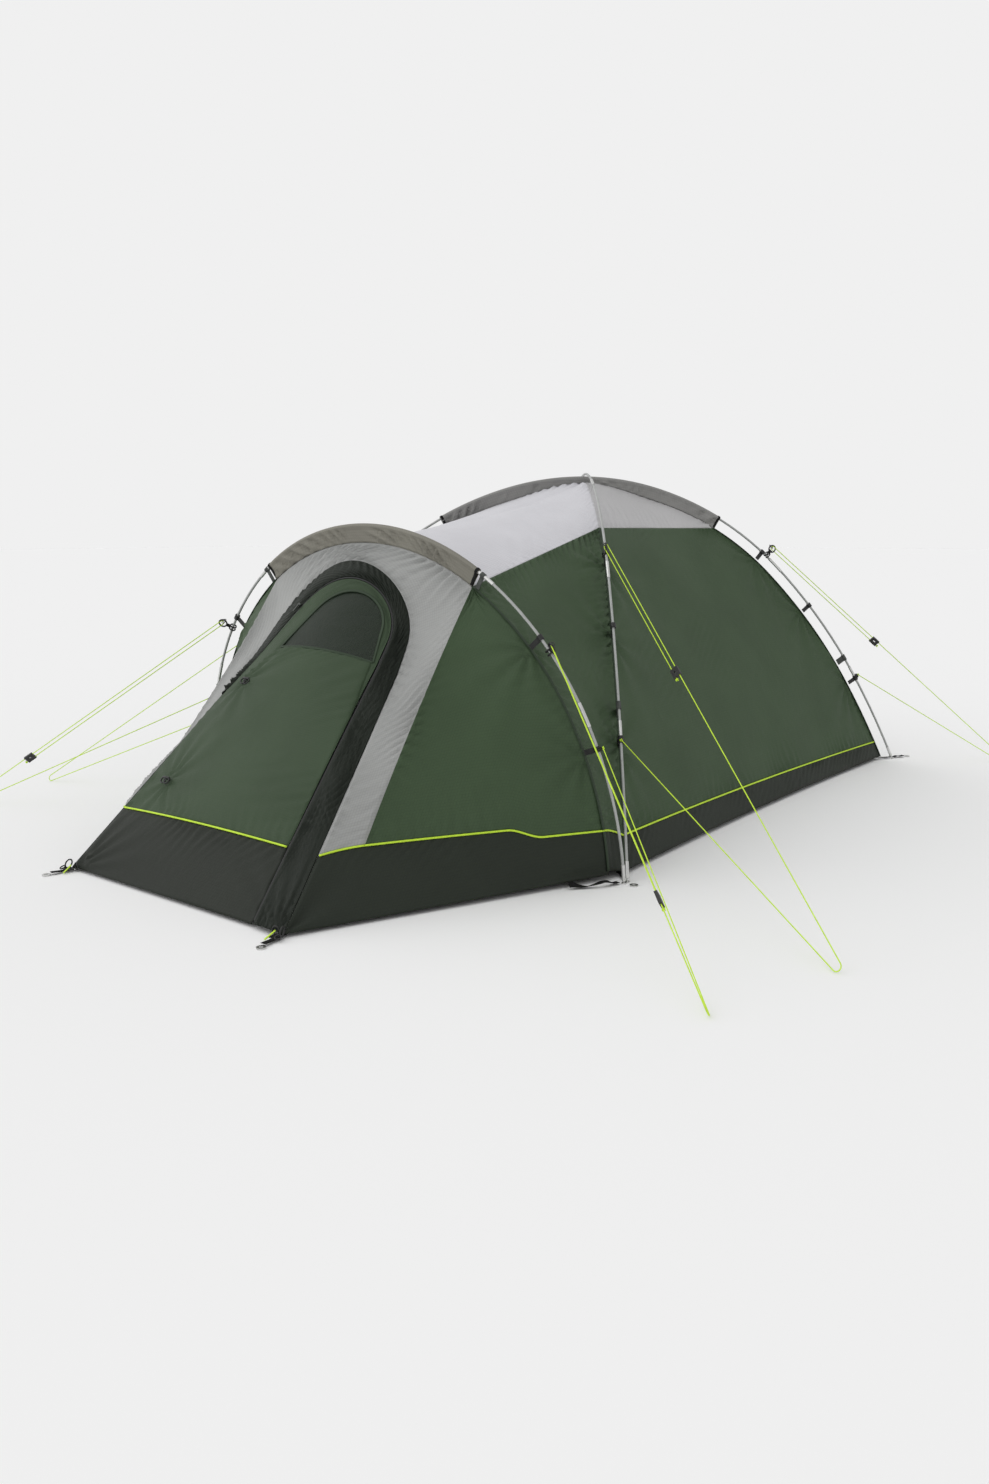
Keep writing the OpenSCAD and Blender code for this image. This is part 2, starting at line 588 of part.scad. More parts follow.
module inner_right() {
    wall = function (k, u) [mix(in_w[0], in_w[1], k), dome_y + (2 * u - 1) * mix(in_l[0], in_l[1], k),
        mix(in_z[0], in_z[1], k)];
    color("whitesmoke") panel(wall, 1, 1, [0.003, 0.997], [0.003, 0.997]);
}
module inner_left() { flipped() inner_right(); }
module inner_roof() {
    roof = function (k, u) let (a = 2 * k - 1, b = 2 * u - 1)
        [a * (in_w[1] - 6), dome_y + b * (in_l[1] - 6),
            in_z[1] + 6 + (in_top - in_z[1] - 6) * (1 - a * a) * (1 - b * b)
            + 30 * (1 - max(abs(a), abs(b)))];
    color("whitesmoke") panel(roof, 8, 8);
}
module inner_door() { color("gainsboro") wall_plane() linear_extrude(cloth) inner_door_shape(-2); }
module inner_zip() {
    color("black") wall_plane() linear_extrude(2.2) difference() {
        inner_door_shape(5.4);
        inner_door_shape(0.5);
        translate([-500, 0]) square([1000, in_door_q[0] + 8]);
    }
}
in_slider_r = in_door_r + 8;
module inner_zip_slider() {
    color("silver") wall_plane() translate([0, in_door_q[1], 2.8]) rotate([0, 0, 10])
        translate([in_slider_r - 6, 0]) zip_runner();
}
tray_h = 55;
module groundsheet() {
    color("dimgray") translate([0, dome_y, 0]) difference() {
        translate([-in_w[0], -in_l[0], 0]) cube([2 * in_w[0], 2 * in_l[0], tray_h]);
        translate([-in_w[0] + cloth, -in_l[0] + cloth, cloth])
            cube([2 * (in_w[0] - cloth), 2 * (in_l[0] - cloth), tray_h]);
    }
}

// ---- guy lines: 0 front dome, 1 rear dome, 2 porch on the right; 3 to 5 the same on the left ----
// [ring, lower tie, turn round the peg, distance from ring to slider], in millimetres
GUYS = [
    [[489, -164, 924], [770, -506, 372], [1605, -931, 18], 625],
    [[508, 1068, 903], [770, 1396, 372], [1273, 1765, 18], 590],
    [[704, -767, 661], [834, -706, 387], [1481, -1322, 18], 870]];
function unit(v) = v / norm(v);
function guy(n) = GUYS[n % 3];
function guy_l(n) = norm(guy(n)[0] - guy(n)[2]);
function guy_way(n) = unit(guy(n)[0] - guy(n)[2]);
function guy_cross(n) = let (v = guy(n)[1] - guy(n)[2], s = guy_way(n)) unit(v - (v * s) * s);
// The line of a set in its own plane: [along the line from the peg, across towards the lower tie]
function guy_path(n) = let (
    v = guy(n)[1] - guy(n)[2],
    low = [v * guy_way(n), v * guy_cross(n)],
    hub = [0, peg_r - turn_r],
    out = low - hub,
    a0 = atan2(out[1], out[0]) + acos(peg_r / norm(out)),
    l = guy_l(n),
    stop = l - guy(n)[3] - 24,
    p0 = hub + peg_r * [cos(a0), sin(a0)])
    concat(
        [for (i = [0:5]) mix(low, p0, i / 6)],
        [for (i = [0:7]) let (a = mix(a0, 270, i / 7)) hub + peg_r * [cos(a), sin(a)]],
        [for (i = [1:5]) [l * i / 6, -turn_r]],
        [for (i = [0:7]) let (a = mix(-90, 90, i / 7)) [l + turn_r * cos(a), turn_r * sin(a)]],
        [for (i = [1:4]) [mix(l, stop, i / 4), turn_r]]);
function guy_points(n) = [for (p = guy_path(n)) guy(n)[2] + p[0] * guy_way(n) + p[1] * guy_cross(n)];
// Frame of a set: origin at the peg, +Z along the line to the ring, +X across towards the lower tie
module guy_frame(n) {
    s = guy_way(n);
    b = acos(s[2]);
    c = atan2(s[1], s[0]);
    w = guy_cross(n);
    roll = atan2(w * [-sin(c), cos(c), 0], w * [cos(b) * cos(c), cos(b) * sin(c), -sin(b)]);
    mirror([n > 2 ? 1 : 0, 0, 0]) translate(guy(n)[2]) rotate([0, b, c]) rotate([0, 0, roll]) children();
}
module ring(r, wire) { rotate_extrude() translate([r, 0]) circle(d = wire, $fn = 16); }
module guy_hardware(n) {
    translate([0, 0, guy_l(n) + 9]) rotate([0, 90, 0]) ring(9, 2.6);
}
module guy_line(n) {
    color("greenyellow") mirror([n > 2 ? 1 : 0, 0, 0]) {
        swept(guy_points(n), guy_d, cross(guy_way(n), guy_cross(n)));
        translate(guy_points(n)[len(guy_points(n)) - 1] - 4.6 * guy_way(n)) sphere(d = 8, $fn = 24);
    }
}
module guy_slider(n) {
    color("black") guy_frame(n) translate([0, 0, guy_l(n) - guy(n)[3]]) difference() {
        translate([-13, -4, -17]) cube([26, 8, 34]);
        for (x = [-turn_r, turn_r]) translate([x, 0, -20]) cylinder(d = guy_d + 1.4, h = 40);
        translate([-2.5, -6, -6]) cube([5, 12, 12]);
    }
}

dome_pole_upper();
dome_pole_lower();
porch_pole();
pole_ferrules();
shock_cords();
pole_tips();
dome_sleeve();
porch_sleeve();
pole_clips();
pole_straps();
ring_pins();
corner_webbing();
strap_buckles();
peg_eyelets();
roof_front();
roof_right();
roof_left();
roof_rear();
side_right();
side_left();
rear_panel();
link_right();
link_left();
porch_side_right();
porch_side_left();
porch_band();
skirt_right();
skirt_left();
skirt_rear();
skirt_porch_right();
skirt_porch_left();
fly_piping();
door_panel();
door_window();
door_skirt();
zip_cover();
door_zip();
door_zip_slider();
door_toggles();
inner_right();
inner_left();
inner_rear();
inner_front();
inner_roof();
inner_door();
inner_zip();
inner_zip_slider();
groundsheet();
guy_line(0);  // guy_line_1
guy_line(1);  // guy_line_2
guy_line(2);  // guy_line_3
guy_line(3);  // guy_line_4
guy_line(4);  // guy_line_5
guy_line(5);  // guy_line_6
guy_slider(0);  // guy_slider_1
guy_slider(1);  // guy_slider_2
guy_slider(2);  // guy_slider_3
guy_slider(3);  // guy_slider_4
guy_slider(4);  // guy_slider_5
guy_slider(5);  // guy_slider_6
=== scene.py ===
"""Looks of a two-person dome tent with a raked porch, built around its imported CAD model.

All sizes are metres in the CAD's frame: the porch is towards -Y, up is +Z.
"""
import math

import bpy
import numpy as np
from mathutils import Matrix, Vector


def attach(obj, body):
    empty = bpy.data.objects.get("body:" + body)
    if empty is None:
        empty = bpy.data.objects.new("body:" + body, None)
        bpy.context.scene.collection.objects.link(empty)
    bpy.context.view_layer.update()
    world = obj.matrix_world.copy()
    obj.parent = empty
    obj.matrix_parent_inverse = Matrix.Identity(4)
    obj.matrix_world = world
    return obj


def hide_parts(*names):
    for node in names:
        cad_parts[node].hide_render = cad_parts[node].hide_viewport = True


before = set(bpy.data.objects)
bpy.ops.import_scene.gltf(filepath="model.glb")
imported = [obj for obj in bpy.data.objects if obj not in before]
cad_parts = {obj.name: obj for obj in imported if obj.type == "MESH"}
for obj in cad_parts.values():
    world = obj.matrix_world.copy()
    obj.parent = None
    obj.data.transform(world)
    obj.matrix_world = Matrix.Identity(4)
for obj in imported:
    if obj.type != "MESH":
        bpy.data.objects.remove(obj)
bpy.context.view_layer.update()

# ---- driving sizes, as the CAD has them ----
DOME_W, DOME_L, DOME_H = 1.78, 2.2, 1.18
PORCH_DEPTH, PORCH_FRONT_W, PORCH_RISE = 0.89, 0.92, 0.995
PORCH_LEAN = math.radians(6)
ARCH_AHEAD = 0.018  # from the dome's front feet to the porch pole's
FRONT_BOW, BOW_TOP = 0.105, 0.9
CROSS_GAP, CROSS_F, CROSS_RUN, CROSS_DROP = 0.008, 0.842, 0.158, 0.026
FLY_GAP = 0.05
SKIRT_H, PORCH_SKIRT_H = 0.13, 0.168
DOOR_R, COVER_R, COVER_Q = 0.205, 0.30, 0.84
HEM_Z = 0.01
CLOTH = 0.0007
DOME_ARCS = [(0.158, 1), (0.308, 0.85), (0.308, 0.45), (0.226, 0.3)]
PORCH_ARCS = [(1 / 3, 1), (1 / 3, 0.87), (1 / 3, 0.74)]
ROOF_F, ARCH_ROOF_F = 0.695, 0.683
DOME_CLIPS, ARCH_CLIPS = (0.215, 0.415, 0.575), (0.265, 0.5)

DOME_Y = PORCH_DEPTH / 2
ARCH_Y = DOME_Y - DOME_L / 2 - ARCH_AHEAD
FRONT_Y = DOME_Y - DOME_L / 2 - PORCH_DEPTH
HALF_FRONT = PORCH_FRONT_W / 2
HALF_SPAN = math.hypot(DOME_W, DOME_L) / 2
WHOLE = 2 * math.pi  # a whole turn
UP = np.array([0.0, 0.0, 1.0])
RIGHT = np.array([1.0, 0.0, 0.0])

# ---- camera ----
SENSOR_MM, LENS_MM = 36.0, 27.08
CAMERA_AT, CAMERA_BACK = (2.4538, -3.2616, 0.9717), (0.6053, -0.7742, 0.1853)
CAMERA_UP = (-0.1125, 0.1472, 0.9827)

camera_data = bpy.data.cameras.new("camera")
camera_data.sensor_width, camera_data.lens = SENSOR_MM, LENS_MM
camera = bpy.data.objects.new("camera", camera_data)
bpy.context.scene.collection.objects.link(camera)
bpy.context.scene.camera = camera
back = Vector(CAMERA_BACK).normalized()
right = Vector(CAMERA_UP).cross(back).normalized()
turn = Matrix((right, back.cross(right), back)).transposed()
camera.matrix_world = Matrix.Translation(CAMERA_AT) @ turn.to_4x4()


# ---- small helpers ----
def lerp(a, b, t):
    return a + (b - a) * t


def between(a, b, t):
    """Points from a to b, where t is an array without the last axis."""
    return a + (b - a) * np.asarray(t)[..., None]


def bump(t):
    return 4 * t * (1 - t)


def unit(v):
    return v / np.linalg.norm(v, axis=-1, keepdims=True)


def smooth(t):
    t = np.clip(t, 0, 1)
    return t * t * (3 - 2 * t)


def point(x, y, z):
    return np.stack(np.broadcast_arrays(x, y, z), -1).astype(float)


def waves(p, size, seed):
    """A smooth random field of about -1 to 1 over points p, with features of that size."""
    count, peak = 10, 4.5
    rng = np.random.default_rng(seed)
    way = unit(rng.normal(size=(count, 3)))
    rate = rng.uniform(0.7, 1.4, count) * WHOLE / size
    start = rng.uniform(0, WHOLE, count)
    return np.sin(p @ (way * rate[:, None]).T + start).sum(-1) / peak


# ---- guy lines, with the CAD's own points ----
TURN_R, PEG_R, GUY_D, KNOT_GAP = 0.007, 0.012, 0.003, 0.024
GUYS = [  # ring, lower tie, peg, distance from the ring to the slider
    [(0.489, -0.164, 0.924), (0.770, -0.506, 0.372), (1.605, -0.931, 0.018), 0.625],
    [(0.508, 1.068, 0.903), (0.770, 1.396, 0.372), (1.273, 1.765, 0.018), 0.590],
    [(0.704, -0.767, 0.661), (0.834, -0.706, 0.387), (1.481, -1.322, 0.018), 0.870],
]


def guy_route(ring, tie, peg, slider):
    """From the lower tie round the peg, up through the ring and back down to the slider's knot."""
    ring, tie, peg = np.array(ring), np.array(tie), np.array(peg)
    way = unit(ring - peg)
    across = unit((tie - peg) - ((tie - peg) @ way) * way)
    low = np.array([(tie - peg) @ way, (tie - peg) @ across])
    hub = np.array([0, PEG_R - TURN_R])
    out = low - hub
    first = math.atan2(out[1], out[0]) + math.acos(PEG_R / np.linalg.norm(out))
    length = np.linalg.norm(ring - peg)
    stop = length - slider - KNOT_GAP
    at_peg = [hub + PEG_R * np.array([math.cos(a), math.sin(a)])
              for a in np.linspace(first, 1.5 * math.pi, 8)]
    at_ring = [np.array([length + TURN_R * math.cos(a), TURN_R * math.sin(a)])
               for a in np.linspace(-math.pi / 2, math.pi / 2, 8)]
    flat = ([lerp(low, at_peg[0], i / 6) for i in range(6)] + at_peg
            + [np.array([length * i / 6, -TURN_R]) for i in range(1, 6)] + at_ring
            + [np.array([lerp(length, stop, i / 4), TURN_R]) for i in range(1, 5)])
    return np.array([peg + p[0] * way + p[1] * across for p in flat])


# ---- poles as chains of tangent arcs ----
class Pole:
    """Half of a bent pole from its top to its foot: arcs of [share of the length, relative curvature]."""

    def __init__(self, arcs, span, rise):
        self.share = np.array([a for a, _ in arcs])
        self.curve = np.array([c for _, c in arcs])
        low, high = 0.5, 2.3  # between these angles, halved until the curve has the right rise
        for _ in range(50):
            middle = (low + high) / 2
            _, _, reach, fall = self.shape(middle)
            if fall / reach < rise / span:
                low = middle
            else:
                high = middle
        self.turns, radii, reach, _ = self.shape(low)
        self.length = span / reach
        self.radii = radii * self.length
        self.ends = np.concatenate([[0], np.cumsum(self.share)])
        centre = np.array([0, -self.radii[0]])
        self.centres = [centre]
        for i in range(1, len(arcs)):
            step = self.radii[i - 1] - self.radii[i]
            centre = centre + step * np.array([math.sin(self.turns[i]), math.cos(self.turns[i])])
            self.centres.append(centre)
        self.centres = np.array(self.centres)

    def shape(self, turn):
        total = self.share @ self.curve
        turns = turn * np.concatenate([[0], np.cumsum(self.share * self.curve)]) / total
        radii = total / (turn * self.curve)
        return turns, radii, radii @ np.diff(np.sin(turns)), -(radii @ np.diff(np.cos(turns)))

    def at(self, f, inset):
        """Distance out and height below the top, a fraction f up from the foot."""
        down = 1 - np.asarray(f, float)
        i = np.clip(np.searchsorted(self.ends, down, side="left") - 1, 0, len(self.share) - 1)
        turn = self.turns[i + 1] - self.turns[i]
        angle = self.turns[i] + (down - self.ends[i]) * turn / self.share[i]
        r = self.radii[i] - inset
        return self.centres[i, 0] + r * np.sin(angle), self.centres[i, 1] + r * np.cos(angle)


dome = Pole(DOME_ARCS, HALF_SPAN, DOME_H)
arch = Pole(PORCH_ARCS, DOME_W / 2, PORCH_RISE)


def dome_at(f, inset, side, end):
    out, fall = dome.at(f, inset)
    return point(side * out * DOME_W / 2 / HALF_SPAN, DOME_Y + end * out * DOME_L / 2 / HALF_SPAN,
                 DOME_H + fall)


def arch_at(f, inset, side):
    out, fall = arch.at(f, inset)
    rise = PORCH_RISE + fall
    return point(side * out, ARCH_Y - rise * math.sin(PORCH_LEAN), rise * math.cos(PORCH_LEAN))


def gap_at(f):
    """The fly comes closer to the dome poles where they cross."""
    return FLY_GAP - CROSS_DROP * smooth((f - CROSS_F) / CROSS_RUN)


ARCH_TOP = arch_at(1.0, FLY_GAP, 1)
RAKE = math.atan2(ARCH_TOP[2] - HEM_Z, ARCH_TOP[1] - FRONT_Y)
FRONT_OUT = np.array([0, -math.sin(RAKE), math.cos(RAKE)])


def touch_angle(x, c, r):
    """Angle from +X to where a line from a foot at (x, -c) touches an arch of radius r about the origin."""
    return math.atan2(-c, x) + math.acos(r / math.hypot(x, c))


def touch_point(foot, c, r):
    a = touch_angle(foot[0] - c[0], c[1] - foot[1], r)
    return c[0] + r * math.cos(a), c[1] + r * math.sin(a)


COVER_SIDE = touch_point((HALF_FRONT, 0), (0, COVER_Q), COVER_R)


def edge_half(q):
    return lerp(HALF_FRONT, COVER_SIDE[0], q / COVER_SIDE[1])


def on_front(x, q, lift=0.0):
    """A point of the raked porch front, which bows forward in its middle: x across, q up the slope."""
    x, q, lift = np.broadcast_arrays(x, q, lift)
    out = lift - FRONT_BOW * np.minimum(q, BOW_TOP * COVER_SIDE[1]) * (x / edge_half(q)) ** 2
    flat = point(x, FRONT_Y + q * math.cos(RAKE), HEM_Z + q * math.sin(RAKE))
    return flat + out[..., None] * FRONT_OUT


def arched(t, a, b, c, r):
    """An arched outline: t from 0 at the left foot a, over the arch about c, to 1 at the right foot b."""
    start = math.pi - touch_angle(c[0] - a[0], c[1] - a[1], r)
    stop = touch_angle(b[0] - c[0], c[1] - b[1], r)
    turn = lerp(start, stop, np.clip((t - 0.25) * 2, 0, 1))
    x, q = c[0] + r * np.cos(turn), c[1] + r * np.sin(turn)
    left, right = np.clip(t * 4, 0, 1), np.clip(4 - t * 4, 0, 1)
    low, far = t < 0.25, t > 0.75
    x = np.where(low, lerp(a[0], x, left), np.where(far, lerp(b[0], x, right), x))
    q = np.where(low, lerp(a[1], q, left), np.where(far, lerp(b[1], q, right), q))
    return x, q


# ---- fly surfaces: k runs up from the hem, u along it ----
FOOT_F, PORCH_FOOT_F, TOP_F = 0.02, 0.012, 0.99
SIDE_SAG, LINK_SAG, ROOF_SAG = 0.038, 0.022, 0.03
EDGE_SAG, BAND_SAG = np.array([0.026, -0.014, 0]), np.array([0.006, -0.012, 0])
PORCH_SAG = np.array([0.026, -0.010, 0])
STRAIGHT_K = 0.6  # the band's edges are straight up to this share of their run, then arched
BAND_FOOT = lerp(on_front(HALF_FRONT, 0), arch_at(0.0, FLY_GAP, 1) * [1, 1, 0] + [0, 0, HEM_Z], 0.14)


def sag_of(f, u):
    return SIDE_SAG * bump(u) * (0.55 + 0.45 * np.sin(math.pi * f)) * np.minimum(1, (1 - f) * 3)


def side_cloth(f, u):
    p = between(dome_at(f, gap_at(f), 1, -1), dome_at(f, gap_at(f), 1, 1), u)
    p[..., 0] -= sag_of(f, u)
    return p


def rear_cloth(f, u):
    p = between(dome_at(f, gap_at(f), 1, 1), dome_at(f, gap_at(f), -1, 1), u)
    p[..., 1] -= sag_of(f, u)
    return p


def link_cloth(k, u):
    p = between(arch_at(lerp(FOOT_F, ARCH_ROOF_F, k), FLY_GAP, 1),
                dome_at(lerp(FOOT_F, ROOF_F, k), FLY_GAP, 1, -1), u)
    p[..., 0] -= LINK_SAG * bump(u) * np.sin(math.pi * k)
    return p


def roof_cloth(s, u):
    a = np.abs(1 - 2 * s)
    side = np.where(s < 0.5, 1, -1)
    f = lerp(1, ROOF_F, a)
    p = between(arch_at(lerp(1, ARCH_ROOF_F, a), FLY_GAP, side), dome_at(f, gap_at(f), side, -1), u)
    p[..., 2] -= ROOF_SAG * bump(u) * (1 - a * a)
    return p


def over_arch(k):
    """How far k has come over the arched part of the band's edges, from 0 to 1."""
    return np.clip((k - STRAIGHT_K) / (1 - STRAIGHT_K), 0, 1)


def billow(k, u, sag):
    return (bump(u) * np.sin(math.pi * k))[..., None] * sag


def cover_edge(k):
    t = np.minimum(k / STRAIGHT_K, 1)
    a = lerp(math.atan2(COVER_SIDE[1] - COVER_Q, COVER_SIDE[0]), math.pi / 2, over_arch(k))
    straight = k <= STRAIGHT_K
    return on_front(np.where(straight, lerp(HALF_FRONT, COVER_SIDE[0], t), COVER_R * np.cos(a)),
                    np.where(straight, COVER_SIDE[1] * t, COVER_Q + COVER_R * np.sin(a)))


def band_edge(k):
    t = np.minimum(k / STRAIGHT_K, 1)
    low = between(BAND_FOOT, arch_at(ARCH_ROOF_F, FLY_GAP, 1), t) - bump(t)[..., None] * EDGE_SAG
    high = arch_at(lerp(ARCH_ROOF_F, 1, over_arch(k)), FLY_GAP, 1)
    return np.where((k <= STRAIGHT_K)[..., None], low, high)


def band_cloth(k, u):
    return between(cover_edge(k), band_edge(k), u) - billow(k, u, BAND_SAG)


def porch_side(k, u):
    p = between(band_edge(k * STRAIGHT_K), arch_at(lerp(PORCH_FOOT_F, ARCH_ROOF_F, k), FLY_GAP, 1), u)
    return p - billow(k, u, PORCH_SAG)


# Piping lines: the height fraction k at which the dark skirt ends
FRONT_SHARE, REAR_SHARE = 1.1, 0.85  # the skirt's height at the dome's front and rear corners
SKIRT_F = SKIRT_H / DOME_H * 0.62  # poles stand steep at the foot, so height runs ahead of length
DOOR_SPLIT = PORCH_SKIRT_H / math.sin(RAKE)
BAND_SKIRT = (DOOR_SPLIT / COVER_SIDE[1] * STRAIGHT_K,
              PORCH_SKIRT_H / arch_at(ARCH_ROOF_F, FLY_GAP, 1)[2] * STRAIGHT_K)


def side_line(u):
    return lerp(SKIRT_F * FRONT_SHARE, SKIRT_F * REAR_SHARE, u)


def rear_line(u):
    return SKIRT_F * REAR_SHARE + 0 * u


def band_line(u):
    return lerp(BAND_SKIRT[0], BAND_SKIRT[1], u)


def porch_line(u):
    """Level along the porch, then a step down to the dome's skirt."""
    step = smooth((u - 0.6) / 0.15)
    low, high = arch_at(ARCH_ROOF_F, FLY_GAP, 1)[2], arch.length * ARCH_ROOF_F
    return lerp(PORCH_SKIRT_H, SKIRT_H + HEM_Z, step) / lerp(low, high, u)


def link_line(u):
    """The same dark skirt goes on across the narrow panel between the porch pole and the dome pole."""
    low = (lerp(PORCH_FOOT_F, ARCH_ROOF_F, porch_line(1.0)) - FOOT_F) / (ARCH_ROOF_F - FOOT_F)
    high = (side_line(0.0) - FOOT_F) / (ROOF_F - FOOT_F)
    return lerp(low, high, u)


# ---- meshes ----
def add_object(name, mesh, material):
    obj = bpy.data.objects.new(name, mesh)
    bpy.context.scene.collection.objects.link(obj)
    mesh.materials.append(material)
    mesh.polygons.foreach_set("use_smooth", [True] * len(mesh.polygons))
    return obj


def settle(obj, body, node=None):
    """Give a piece its body, and hide the CAD node that it stands for."""
    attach(obj, body)
    if node:
        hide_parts(node)


def mesh_of(name, points, faces, uv=None):
    mesh = bpy.data.meshes.new(name)
    mesh.from_pydata(np.asarray(points, float).tolist(), [], faces)
    if uv is not None:
        layer = mesh.uv_layers.new(name="cut")
        loops = np.zeros(len(mesh.loops), int)
        mesh.loops.foreach_get("vertex_index", loops)
        layer.data.foreach_set("uv", np.asarray(uv, float)[loops].ravel())
    mesh.update()
    return mesh


def grid_faces(rows, columns, start, flip):
    corners = [start + i * columns + j for i in range(rows - 1) for j in range(columns - 1)]
    quads = [(a, a + 1, a + columns + 1, a + columns) for a in corners]
    return [quad[::-1] for quad in quads] if flip else quads


class Cut:
    """A surface sampled as a grid, with its lengths along both directions in metres."""

    def __init__(self, fn, k_range, u_range, step):
        few = 9
        k = np.linspace(0, 1, few)[:, None] * np.ones((1, few))
        coarse = fn(*self.spread(k, k.T, k_range, u_range))
        rows, columns = [
            max(3, int(np.linalg.norm(np.diff(coarse, axis=axis), axis=-1).sum(axis).max() / step) + 2)
            for axis in (0, 1)]
        k, u = np.meshgrid(np.linspace(0, 1, rows), np.linspace(0, 1, columns), indexing="ij")
        self.k, self.u = self.spread(k, u, k_range, u_range)
        self.p = fn(self.k, self.u)
        du, dk = np.gradient(self.p, axis=1), np.gradient(self.p, axis=0)
        self.n = unit(np.cross(du, dk) + 1e-12)
        self.up = self.run(0)
        self.along = self.run(1)

    @staticmethod
    def spread(k, u, k_range, u_range):
        u = lerp(u_range[0], u_range[1], u)
        low, high = [r(u) if callable(r) else r for r in k_range]
        return lerp(low, high, k), u

    def run(self, axis):
        steps = np.linalg.norm(np.diff(self.p, axis=axis), axis=-1)
        first = np.zeros_like(steps[:1] if axis == 0 else steps[:, :1])
        return np.concatenate([first, np.cumsum(steps, axis=axis)], axis=axis)

    def size(self):
        a = self.p[1:, 1:] - self.p[:-1, :-1]
        b = self.p[1:, :-1] - self.p[:-1, 1:]
        area = float(np.linalg.norm(np.cross(a, b), axis=-1).sum() / 2)
        width, length = float(self.along[:, -1].max()), float(self.up[-1].max())
        return width, length, min(area, width * length)

    def edges(self):
        """Distance from each edge and place along it: low k, high k, low u, high u."""
        return ((self.up, self.along), (self.up[-1:] - self.up, self.along),
                (self.along, self.up), (self.along[:, -1:] - self.along, self.up))

    def clear(self, hold=0.012):
        """0 at the edges, 1 a little way in, so that sewn edges stay where they meet."""
        return np.min([smooth(d / hold) for d, _ in self.edges()], axis=0)


LOW_K, HIGH_K, LOW_U, HIGH_U = EVERY_EDGE = range(4)


def puckers(cut, edges, height=0.0016, reach=0.05, pitch=0.034, slant=0.5, seed=1):
    """Slanting ripples that run in from sewn edges."""
    out = 0
    for n in edges:
        d, s = cut.edges()[n]
        phase = WHOLE * (s + slant * d) / pitch + 3.5 * waves(cut.p, 0.22, seed + n)
        strength = np.clip(1.5 + 1.6 * waves(cut.p, 0.35, seed + 40 + n), 0.3, 3.0)
        ripple = 0.75 * np.sin(phase) + 0.25 * np.sin(1.9 * phase + 1)
        out = out + height * np.exp(-d / reach) * ripple * strength
    return out


def pulls(cut, places, height=0.004, reach=0.13, rays=9):
    """Folds that fan out from the places where something pulls on the cloth."""
    hub = 0.03
    out = 0
    for number, place in enumerate(places):
        off = cut.p - np.asarray(place)
        flat = off - (off * cut.n).sum(-1, keepdims=True) * cut.n
        r = np.linalg.norm(flat, axis=-1)
        across = unit(np.cross(cut.n, UP + 1e-6))
        angle = np.arctan2((flat * across).sum(-1), (flat * np.cross(across, cut.n)).sum(-1))
        fan = np.cos(rays * angle + 1.3 * number + 0.8 * np.sin(2 * angle + number))
        out = out + height * np.exp(-r / reach) * np.minimum(r / hub, 1) * fan
    return out


def drape(cut, height=0.003, size=0.45, seed=5):
    """Slow swells with shallow stretch lines along them."""
    line_pitch, line_height = 0.031, 0.0010
    slanted = cut.p[..., 2] - 0.5 * cut.p[..., 1]
    lines = np.sin(slanted / line_pitch * WHOLE + 5 * waves(cut.p, 0.5, seed + 3))
    patch = np.clip(waves(cut.p, 0.4, seed + 7), 0, 1)
    return height * waves(cut.p, size, seed) + line_height * lines * patch


STEP = 0.011


def cloth_mesh(name, cuts, dents, mirror):
    points, faces, uv, start = [], [], [], 0
    for cut, dent in zip(cuts, dents):
        p = cut.p + (dent * cut.clear())[..., None] * cut.n
        rows, columns = p.shape[:2]
        points.append(p.reshape(-1, 3) * ([-1, 1, 1] if mirror else [1, 1, 1]))
        uv.append(np.stack([cut.along, cut.up], -1).reshape(-1, 2))
        faces += grid_faces(rows, columns, start, mirror)
        start += rows * columns
    return mesh_of(name, np.concatenate(points), faces, np.concatenate(uv))


def cloth_piece(name, cuts, dents, material, body, node, mirror=False):
    """One piece of cloth from one or more cuts that join, with its thickness and body; the cuts' flat sizes
    are worked out but not kept.
    """
    obj = add_object(name, cloth_mesh(name, cuts, dents, mirror), material)
    solid = obj.modifiers.new("thickness", "SOLIDIFY")
    solid.thickness = CLOTH
    solid.offset = -1
    settle(obj, body, node)
    widths, lengths, areas = zip(*[cut.size() for cut in cuts])


def ring_faces(rings, sides):
    """Faces of a closed tube whose points come ring by ring."""
    turn = [(j, (j + 1) % sides) for j in range(sides)]
    faces = [(low + j, low + k, low + sides + k, low + sides + j)
             for low in range(0, (rings - 1) * sides, sides) for j, k in turn]
    return faces + [tuple(range(sides))[::-1], tuple((rings - 1) * sides + j for j in range(sides))]


def tube(path, radius, sides=10, across=UP):
    """A closed round tube along points."""
    path = np.asarray(path, float)
    way = unit(np.gradient(path, axis=0))
    x = unit(across - (way @ across)[:, None] * way)
    y = np.cross(way, x)
    a = np.linspace(0, WHOLE, sides, endpoint=False)[:, None]
    radius = np.broadcast_to(radius, len(path))[:, None, None]
    rings = path[:, None] + radius * (np.cos(a) * x[:, None] + np.sin(a) * y[:, None])
    return rings.reshape(-1, 3), ring_faces(len(path), sides)


def hardware(name, parts, material, body, node=None):
    """One piece from several (points, faces) parts."""
    points, faces, start = [], [], 0
    for p, f in parts:
        points.append(np.asarray(p, float))
        faces += [tuple(start + v for v in face) for face in f]
        start += len(p)
    obj = add_object(name, mesh_of(name, np.concatenate(points), faces), material)
    settle(obj, body, node)
    return obj


def both_sides(parts):
    """The right-hand parts, and their mirror images on the left."""
    return parts + [(np.asarray(points) * [-1, 1, 1], [tuple(reversed(face)) for face in faces])
                    for points, faces in parts]


